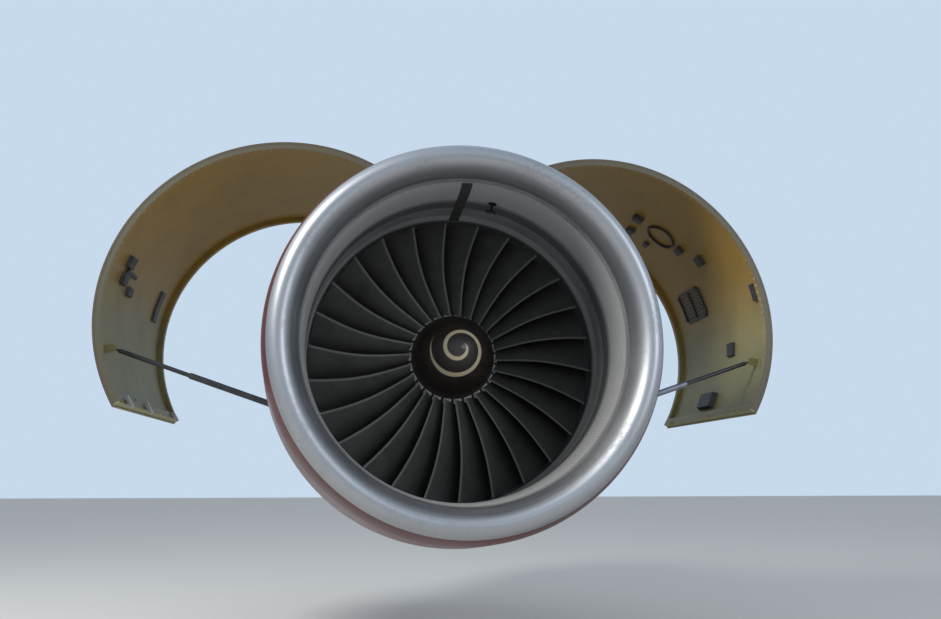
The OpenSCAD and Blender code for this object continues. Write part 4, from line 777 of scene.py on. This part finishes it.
filler_drop, filler_rear_drop = 0.033, 0.055
filler_sheet = 0.010
filler_nose = 0.0197
filler_finish, tree, shader = finish("filler_metal", metallic=0.15)
at = engine_place(tree)
soil = soiled(tree, (0.80, 0.80, 0.79), (0.45, 0.45, 0.44), 9.0, 0.5)
# Painted shade: the fillers turn dark where each blade root stands on them
wave = math_node(tree, "MULTIPLY", at.outputs["Clock"], float(blade_count))
wave = math_node(tree, "COSINE", wave)
blade_root_shade = fade(tree, wave, 0.55, 0.9)
connect(tree, shader, blend(tree, blade_root_shade, soil.outputs["Colour"], (0.03, 0.03, 0.032, 1)),
        math_node(tree, "MULTIPLY_ADD", soil.outputs["Grain"], 0.25, 0.28))
fillers = turned("blade_fillers", [[
    (hub_front_r - filler_drop, hub_front), (hub_line(hub_front), hub_front),
    (hub_line(hub_back), hub_back), (hub_rear_r - filler_rear_drop, hub_back),
    (hub_rear_r - filler_rear_drop, hub_back - filler_sheet),
    (hub_front_r - filler_drop, hub_front + filler_nose),
]], filler_finish, steps=8 * blade_count)
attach(fillers, "low_pressure_rotor")
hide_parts("annulus_fillers")

spinner_finish, tree, shader = finish("spinner_paint", Coat_Weight=0.25, Coat_Roughness=0.2)
at = engine_place(tree)
soil = soiled(tree, (0.012, 0.008, 0.006), (0.05, 0.035, 0.025), 7.0, 0.5)
swirl_in, swirl_out, swirl_start = 0.060, 0.232, math.radians(110)
swirl_turn = math.radians(520)
swirl_pitch = (swirl_out - swirl_in) / swirl_turn
swirl_half_width = 0.0145
lag = math_node(tree, "DIVIDE",
                math_node(tree, "SUBTRACT", at.outputs["Radius"], swirl_in), swirl_pitch)
off = math_node(tree, "SUBTRACT", at.outputs["Clock"], math_node(tree, "ADD", lag, swirl_start))
off = math_node(tree, "ABSOLUTE", math_node(tree, "WRAP", off, math.pi, -math.pi))
off = math_node(tree, "MULTIPLY", off, swirl_pitch)
swirl = fade(tree, off, swirl_half_width + 0.002, swirl_half_width - 0.002)
for edge in ((swirl_in - 0.012, swirl_in), (swirl_out, swirl_out - 0.01)):
    swirl = math_node(tree, "MULTIPLY", swirl, fade(tree, at.outputs["Radius"], *edge))
worn = blend(tree, math_node(tree, "MULTIPLY", soil.outputs["Grain"], 0.5),
             (0.56, 0.50, 0.34, 1), (0.30, 0.25, 0.14, 1))
connect(tree, shader, blend(tree, swirl, soil.outputs["Colour"], worn),
        math_node(tree, "MULTIPLY_ADD", soil.outputs["Grain"], 0.25, 0.32))
spinner_steps = 40
spinner_fullness, spinner_taper = 0.92, 0.35
spinner_line = []
for i in range(spinner_steps + 1):
    share = i / spinner_steps
    a = math.pi / 2 * share
    ahead = math.cos(a) * (1 - spinner_taper * share)
    spinner_line.append((spinner_base_r * math.sin(a) ** spinner_fullness,
                         mix(spinner_tip, fairing_front, 1 - ahead)))
spinner = turned("spinner_cone", [spinner_line + [(0, fairing_front)]], spinner_finish, steps=128)
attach(spinner, "low_pressure_rotor")
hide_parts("spinner")

fairing_finish = worn_finish("spinner_ring_paint", (0.055, 0.050, 0.045), (0.02, 0.018, 0.016),
                             8.0, 0.6, roughness=0.35, spread=0.25, metallic=0.3)
ring = turned("spinner_ring", [[
    (0, fairing_front), (spinner_base_r, fairing_front), (hub_front_r, hub_front), (0, hub_front),
]], fairing_finish, steps=128)
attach(ring, "low_pressure_rotor")
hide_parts("spinner_fairing")
fasteners("spinner_screws", [
    full_ring(24, (fairing_front + hub_front) / 2, (spinner_base_r + hub_front_r) / 2,
              Head=0.007, Height=0.002),
], "low_pressure_rotor", rivet_steel)

# ---- Core ----
# Compressors, combustor and turbines on three shafts inside one another, in machined cases of
# steel and of nickel alloy that the heat has browned. A composite fairing closes in the front.

core_finish, tree, shader = finish("core_alloy", metallic=0.9)
soil = soiled(tree, (0.36, 0.34, 0.31), (0.13, 0.10, 0.08), 5.0, 0.7)
streak = round_streaks(tree, 60.0)
connect(tree, shader, soil.outputs["Colour"],
        math_node(tree, "MULTIPLY_ADD", streak, 0.15, 0.32), streak, 0.0005)
dress(core_finish, "fan_disc", "lp_shaft", "ip_compressor", "high_compressor", "compressor_case",
      "combustor_case", "combustor_liner", "fuel_nozzles", "front_bearings", "rear_bearings",
      "radial_drive_shaft")

hot_finish, tree, shader = finish("hot_alloy", metallic=0.95)
at = engine_place(tree)
soil = soiled(tree, (0.30, 0.255, 0.21), (0.09, 0.075, 0.075), 4.0, 0.8)
streak = round_streaks(tree, 35.0)
blued = fade(tree, math_node(tree, "MULTIPLY_ADD", streak, 0.25, at.outputs["Station"]), 3.2, 4.3)
connect(tree, shader, blend(tree, blued, soil.outputs["Colour"], (0.23, 0.22, 0.25, 1)),
        math_node(tree, "MULTIPLY_ADD", soil.outputs["Grain"], 0.22, 0.26), streak, 0.0006)
dress(hot_finish, "lp_turbine", "ip_turbine", "high_turbine", "turbine_case",
      "tail_bearing_housing", "exhaust_mixer", "exhaust_cone")

vane_finish = worn_finish("vane_metal", (0.33, 0.34, 0.35), (0.10, 0.10, 0.10), 6.0, 0.6,
                          roughness=0.3, spread=0.25, metallic=0.6)
dress(vane_finish, "outlet_guide_vanes")

bare_composite = ((0.24, 0.25, 0.26), (0.10, 0.095, 0.09), 3.0, 0.7)
composite = worn_finish("grey_composite", *bare_composite, roughness=0.4, spread=0.25, depth=0.001)
dress(composite, "core_fairing")

# ---- Gearbox, its units, pipes and boxes on the fan case ----
# A cast gearbox hangs under the case with pumps, a starter and a generator on its faces. An oil
# tank, a controller box and steel pipes are strapped round the case.

cast_finish = worn_finish("cast_alloy", (0.33, 0.32, 0.28), (0.08, 0.07, 0.05), 6.0, 0.8,
                          roughness=0.42, spread=0.3, depth=0.002, strength=0.5, metallic=0.5)
dress(cast_finish, "accessory_gearbox", "gearbox_pumps", "starter")

unit_finish = worn_finish("unit_paint", (0.045, 0.048, 0.05), (0.13, 0.12, 0.10), 7.0, 0.6,
                          roughness=0.35, spread=0.3, depth=0.001, Coat_Weight=0.2)
dress(unit_finish, "generator", "engine_controller")

tank_finish = worn_finish("tank_metal", (0.40, 0.41, 0.42), (0.13, 0.12, 0.10), 5.0, 0.7,
                          roughness=0.3, spread=0.25, depth=0.001, metallic=0.7)
dress(tank_finish, "oil_tank")

pipe_finish = worn_finish("pipe_steel", (0.48, 0.47, 0.44), (0.18, 0.14, 0.10), 12.0, 0.6,
                          roughness=0.22, spread=0.2, metallic=0.95)
dress(pipe_finish, "fan_case_pipes")

# ---- Mounts and the beam over the engine ----
# Forged mounts bolt the engine to its pylon. A painted beam along the top carries the hinges of
# both fan cowl doors and of the reverser.

beam_finish = worn_finish("beam_primer", (0.25, 0.27, 0.20), (0.07, 0.07, 0.05), 4.0, 0.8,
                          roughness=0.42, spread=0.25, depth=0.001)
dress(beam_finish, "cowl_support_beam")

mount_finish = worn_finish("mount_steel", (0.28, 0.28, 0.29), (0.08, 0.07, 0.06), 8.0, 0.7,
                           roughness=0.35, spread=0.3, depth=0.001, metallic=0.9)
dress(mount_finish, "front_mount", "rear_mount")

# ---- Fan cowl doors ----
# Two curved composite doors hang from the beam and stand open. They are painted outside in the
# cowls' red, darker as painted shade, and left in green primer inside, where rivets and small
# fittings show. Painted shade browns and darkens the primer towards the top of each door.

hinge_x = 0.388
hinge_z = 1.464
open_angle = math.radians(58.5)
door_rear = door_front + 2.090
door_skin = 0.016
frame_depth = 0.046
shade_start_z, shade_full_z = -1.25, -0.25
hands = ((-1, "left"), (1, "right"))


def opened(side, r, clock, station):
    """Where a point of the closed door, by radius, clock angle and station, stands when open."""
    x = r * math.sin(math.radians(clock)) - hinge_x
    z = r * math.cos(math.radians(clock)) - hinge_z
    return Vector((
        side * (hinge_x + x * math.cos(open_angle) - z * math.sin(open_angle)),
        station + plane_y,
        axis_z + hinge_z + x * math.sin(open_angle) + z * math.cos(open_angle),
    ))


def door_finish(name, side):
    """Red paint on the outside of an open door and primer inside, browner and darker towards the
    top as painted shade.
    """
    centre = opened(side, 0.0, 0.0, 0.0)
    material, tree, shader = finish(name, Coat_Weight=0.03, Coat_Roughness=0.3)
    place = add(tree, "ShaderNodeSeparateXYZ",
                {0: add(tree, "ShaderNodeTexCoord").outputs["Object"]})
    dx = math_node(tree, "SUBTRACT", place.outputs["X"], centre.x)
    dz = math_node(tree, "SUBTRACT", place.outputs["Z"], centre.z)
    r = math_node(tree, "MULTIPLY_ADD", dx, dx, math_node(tree, "MULTIPLY", dz, dz))
    r = math_node(tree, "SQRT", r)
    outside = fade(tree, r, cowl_r - 2 * paint_edge, cowl_r - paint_edge)
    # Painted shade: the green primer turns browner and darker towards the top of the door
    brown_and_shade = soiled(tree, (0.31, 0.190, 0.030), (0.19, 0.125, 0.022), 2.4, 0.7)
    green_primer = soiled(tree, (0.27, 0.255, 0.115), (0.14, 0.135, 0.070), 2.4, 0.7)
    height = math_node(tree, "MULTIPLY_ADD", brown_and_shade.outputs["Grain"], 0.25, place.outputs["Z"])
    primer = blend(tree, fade(tree, height, shade_start_z, shade_full_z),
                   green_primer.outputs["Colour"], brown_and_shade.outputs["Colour"])
    edge_y = door_front + plane_y + paint_edge
    front_edge = fade(tree, place.outputs["Y"], edge_y + paint_edge, edge_y)
    primer = blend(tree, front_edge, primer, (0.085, 0.075, 0.045, 1))
    paint = soiled(tree, *shade_darkened_red)
    connect(tree, shader, blend(tree, outside, primer, paint.outputs["Colour"]),
            math_node(tree, "MULTIPLY_ADD", brown_and_shade.outputs["Grain"], 0.22, 0.42),
            brown_and_shade.outputs["Grain"], 0.0008)
    return material


for side, hand in hands:
    stand_in(hand + "_door", hand + "_cowl_door", hand + "_cowl",
             door_finish(hand + "_door_paint", side), opened(side, 0.0, 0.0, 0.0))

inner_r = cowl_r - door_skin
frame_r = inner_r - frame_depth
frame_inset, frame_width = 0.017, 0.030
ring_clocks, edge_clocks = (22.0, 178.0), (20.3, 177.3)
for side, hand in hands:
    ring = sorted(side * math.radians(clock) for clock in ring_clocks)
    edge = sorted(side * math.radians(clock) for clock in edge_clocks)
    head = {"Outwards": -1.0, "Head": 0.0065, "Height": 0.0024}
    ring_rows = [
        {**head, "From": ring[0], "To": ring[1], "Round": 64, "Radius": frame_r,
         "Front": station + plane_y, "Rear": station + plane_y}
        for end, inwards in ((door_front, 1), (door_rear, -1))
        for station in (end + inwards * frame_inset, end + inwards * (frame_inset + frame_width))
    ]
    edge_rows = {**head, "From": edge[0], "To": edge[1], "Round": 2, "Along": 36,
                 "Radius": frame_r - 0.003, "Front": door_front + 0.082 + plane_y,
                 "Rear": door_rear - 0.078 + plane_y}
    rivets = fasteners(hand + "_door_rivets", ring_rows + [edge_rows],
                       hand + "_cowl", rivet_steel)
    pivot = Vector((side * hinge_x, 0, axis_z + hinge_z))
    rivets.data.transform(Matrix.Translation(pivot) @ Matrix.Rotation(-side * open_angle, 4, "Y")
                          @ Matrix.Translation(-pivot))

fitting_finish = worn_finish("fitting_black", (0.022, 0.022, 0.024), (0.085, 0.075, 0.05),
                             12.0, 0.7, roughness=0.4, spread=0.3, depth=0.001)
stand_off = 0.0002
grille_clock, grille_station = 129.0, 1.500


def fitting(bm, side, clock, station, arc, length, height):
    """A curved block on the inside of a door, round the given clock angle and station."""
    base, top = 0.5 * length, 0.42 * length
    corners = ((stand_off, -base), (stand_off, base), (height, top), (height, -top))
    steps = max(2, round(arc / 3))
    rings = []
    for i in range(steps + 1):
        a = clock + arc * (i / steps - 0.5)
        rings.append([bm.verts.new(opened(side, inner_r - rise, a, station + along))
                      for rise, along in corners])
    for here, there in zip(rings, rings[1:]):
        for i in range(4):
            bm.faces.new((here[i], here[(i + 1) % 4], there[(i + 1) % 4], there[i]))
    bm.faces.new(rings[0])
    bm.faces.new(rings[-1][::-1])


def door_ring(bm, side, clock, station, radius, tube):
    """A round rubbing ring that stands on the inside of a door."""
    around, sides = 40, 8
    loops = []
    for i in range(around):
        a = 2 * math.pi * i / around
        loop = []
        for j in range(sides):
            b = 2 * math.pi * j / sides
            wide = radius + tube * math.cos(b)
            loop.append(bm.verts.new(opened(
                side, inner_r - tube * (1 + math.sin(b)) - stand_off,
                clock + math.degrees(wide * math.cos(a) / inner_r), station + wide * math.sin(a))))
        loops.append(loop)
    for i in range(around):
        here, there = loops[i], loops[(i + 1) % around]
        for j in range(sides):
            bm.faces.new((here[j], here[(j + 1) % sides], there[(j + 1) % sides], there[j]))


# Brackets, a rubbing ring and a grille of two side bars, three cross bars and seven slats
bm = bmesh.new()
for clock, station, arc, length, height in (
    (86, 1.072, 4, 0.10, 0.050), (87.5, 1.430, 3, 0.12, 0.040), (107, 1.075, 3, 0.12, 0.045),
    (115, 0.873, 4, 0.12, 0.040), (152, 0.828, 5, 0.14, 0.030), (135, 0.180, 6, 0.10, 0.030),
    (171, 1.198, 6, 0.34, 0.055), (96.5, 1.509, 2, 0.10, 0.030),
):
    fitting(bm, 1, clock, station, arc, length, height)
door_ring(bm, 1, 98, 1.140, 0.160, 0.013)
for aside in (-5.9, 5.9):
    fitting(bm, 1, grille_clock + aside, grille_station, 1.0, 0.52, 0.020)
for along in (-0.255, 0.0, 0.255):
    fitting(bm, 1, grille_clock, grille_station + along, 11.0, 0.03, 0.020)
for slat in range(7):
    fitting(bm, 1, grille_clock - 4.3 + 1.45 * slat, grille_station, 0.7, 0.48, 0.012)
bmesh.ops.recalc_face_normals(bm, faces=bm.faces)
right_fittings = put_mesh("right_door_fittings", bm, fitting_finish)
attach(right_fittings, "right_cowl")

# Brackets, a strip and a plate
bm = bmesh.new()
for clock, station, arc, length, height in (
    (128.5, 0.523, 4, 0.14, 0.040), (134.5, 0.518, 4, 0.12, 0.040), (137, 0.758, 3, 0.14, 0.030),
    (131.5, 0.662, 1.2, 0.30, 0.025), (134.5, 1.705, 12, 0.13, 0.022),
):
    fitting(bm, -1, clock, station, arc, length, height)
bmesh.ops.recalc_face_normals(bm, faces=bm.faces)
left_fittings = put_mesh("left_door_fittings", bm, fitting_finish)
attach(left_fittings, "left_cowl")

# ---- Hold-open rods ----
# A steel tube turns on the fan case, and a thinner rod slides out of it to a lug on the door.
# They are painted dark, apart from the right tube, which is bare.

rod_finish = worn_finish("rod_paint", (0.022, 0.024, 0.028), (0.10, 0.10, 0.10), 9.0, 0.5,
                         roughness=0.28, spread=0.3, metallic=0.2)
dress(rod_finish, "left_rod_tube", "left_rod", "right_rod")

tube_finish = worn_finish("tube_metal", (0.20, 0.22, 0.26), (0.07, 0.07, 0.075), 9.0, 0.6,
                          roughness=0.3, spread=0.25, metallic=0.8)
dress(tube_finish, "right_rod_tube")

# ---- Latches ----
# Three steel latches sit along the lower edge of the right door. Each has a handle and a hook
# that pulls in the keeper on the left door.

latch_finish = worn_finish("latch_steel", (0.42, 0.41, 0.39), (0.12, 0.10, 0.08), 20.0, 0.6,
                           roughness=0.3, spread=0.25, metallic=0.9)
dress(latch_finish, "front_latch", "middle_latch", "rear_latch")

# ---- Thrust reverser ----
# Two hollow composite halves behind the fan cowl doors, each with two doors that pivot out. They
# carry the cowls' red paint outside, darker as painted shade, and bare grey composite in the duct.

reverser_len = 1.720
reverser_front = 2.134
reverser_rear_r = 1.300
reverser_finish, tree, shader = finish("reverser_paint", Coat_Weight=0.25, Coat_Roughness=0.2)
at = engine_place(tree)
share = math_node(tree, "SUBTRACT", at.outputs["Station"], reverser_front)
share = math_node(tree, "DIVIDE", share, reverser_len)
share = math_node(tree, "POWER", math_node(tree, "MAXIMUM", share, 0.0), 1.6)
outer = math_node(tree, "MULTIPLY_ADD", share, reverser_rear_r - cowl_r, cowl_r - 0.012)
outside = fade(tree, math_node(tree, "SUBTRACT", at.outputs["Radius"], outer), 0.0, 0.004)
paint = soiled(tree, *shade_darkened_red)
bare = soiled(tree, *bare_composite)
connect(tree, shader, blend(tree, outside, bare.outputs["Colour"], paint.outputs["Colour"]),
        math_node(tree, "MULTIPLY_ADD", paint.outputs["Grain"], 0.22, 0.30))
for _, hand in hands:
    stand_in(hand + "_reverser", hand + "_reverser_half", hand + "_duct",
             reverser_finish)
    for level in ("upper", "lower"):
        stand_in(f"{hand}_{level}_pivot_door", f"{hand}_{level}_blocker_door",
                 f"{hand}_{level}_blocker", reverser_finish)

# ---- Common nozzle ----
# A spun sheet nozzle round both streams, of an alloy that the heat has browned towards its rear
# edge. Struts hold it on the rear frame of the core.

nozzle_finish, tree, shader = finish("nozzle_alloy", metallic=0.95)
at = engine_place(tree)
soil = soiled(tree, (0.38, 0.35, 0.31), (0.15, 0.12, 0.10), 3.0, 0.7)
streak = round_streaks(tree, 45.0)
brown_and_shade = math_node(tree, "MULTIPLY_ADD", streak, 0.12, at.outputs["Station"])
brown_and_shade = fade(tree, brown_and_shade, 4.1, 4.75)
connect(tree, shader, blend(tree, brown_and_shade, soil.outputs["Colour"], (0.20, 0.16, 0.15, 1)),
        math_node(tree, "MULTIPLY_ADD", soil.outputs["Grain"], 0.2, 0.24), streak, 0.0005)
dress(nozzle_finish, "common_nozzle")
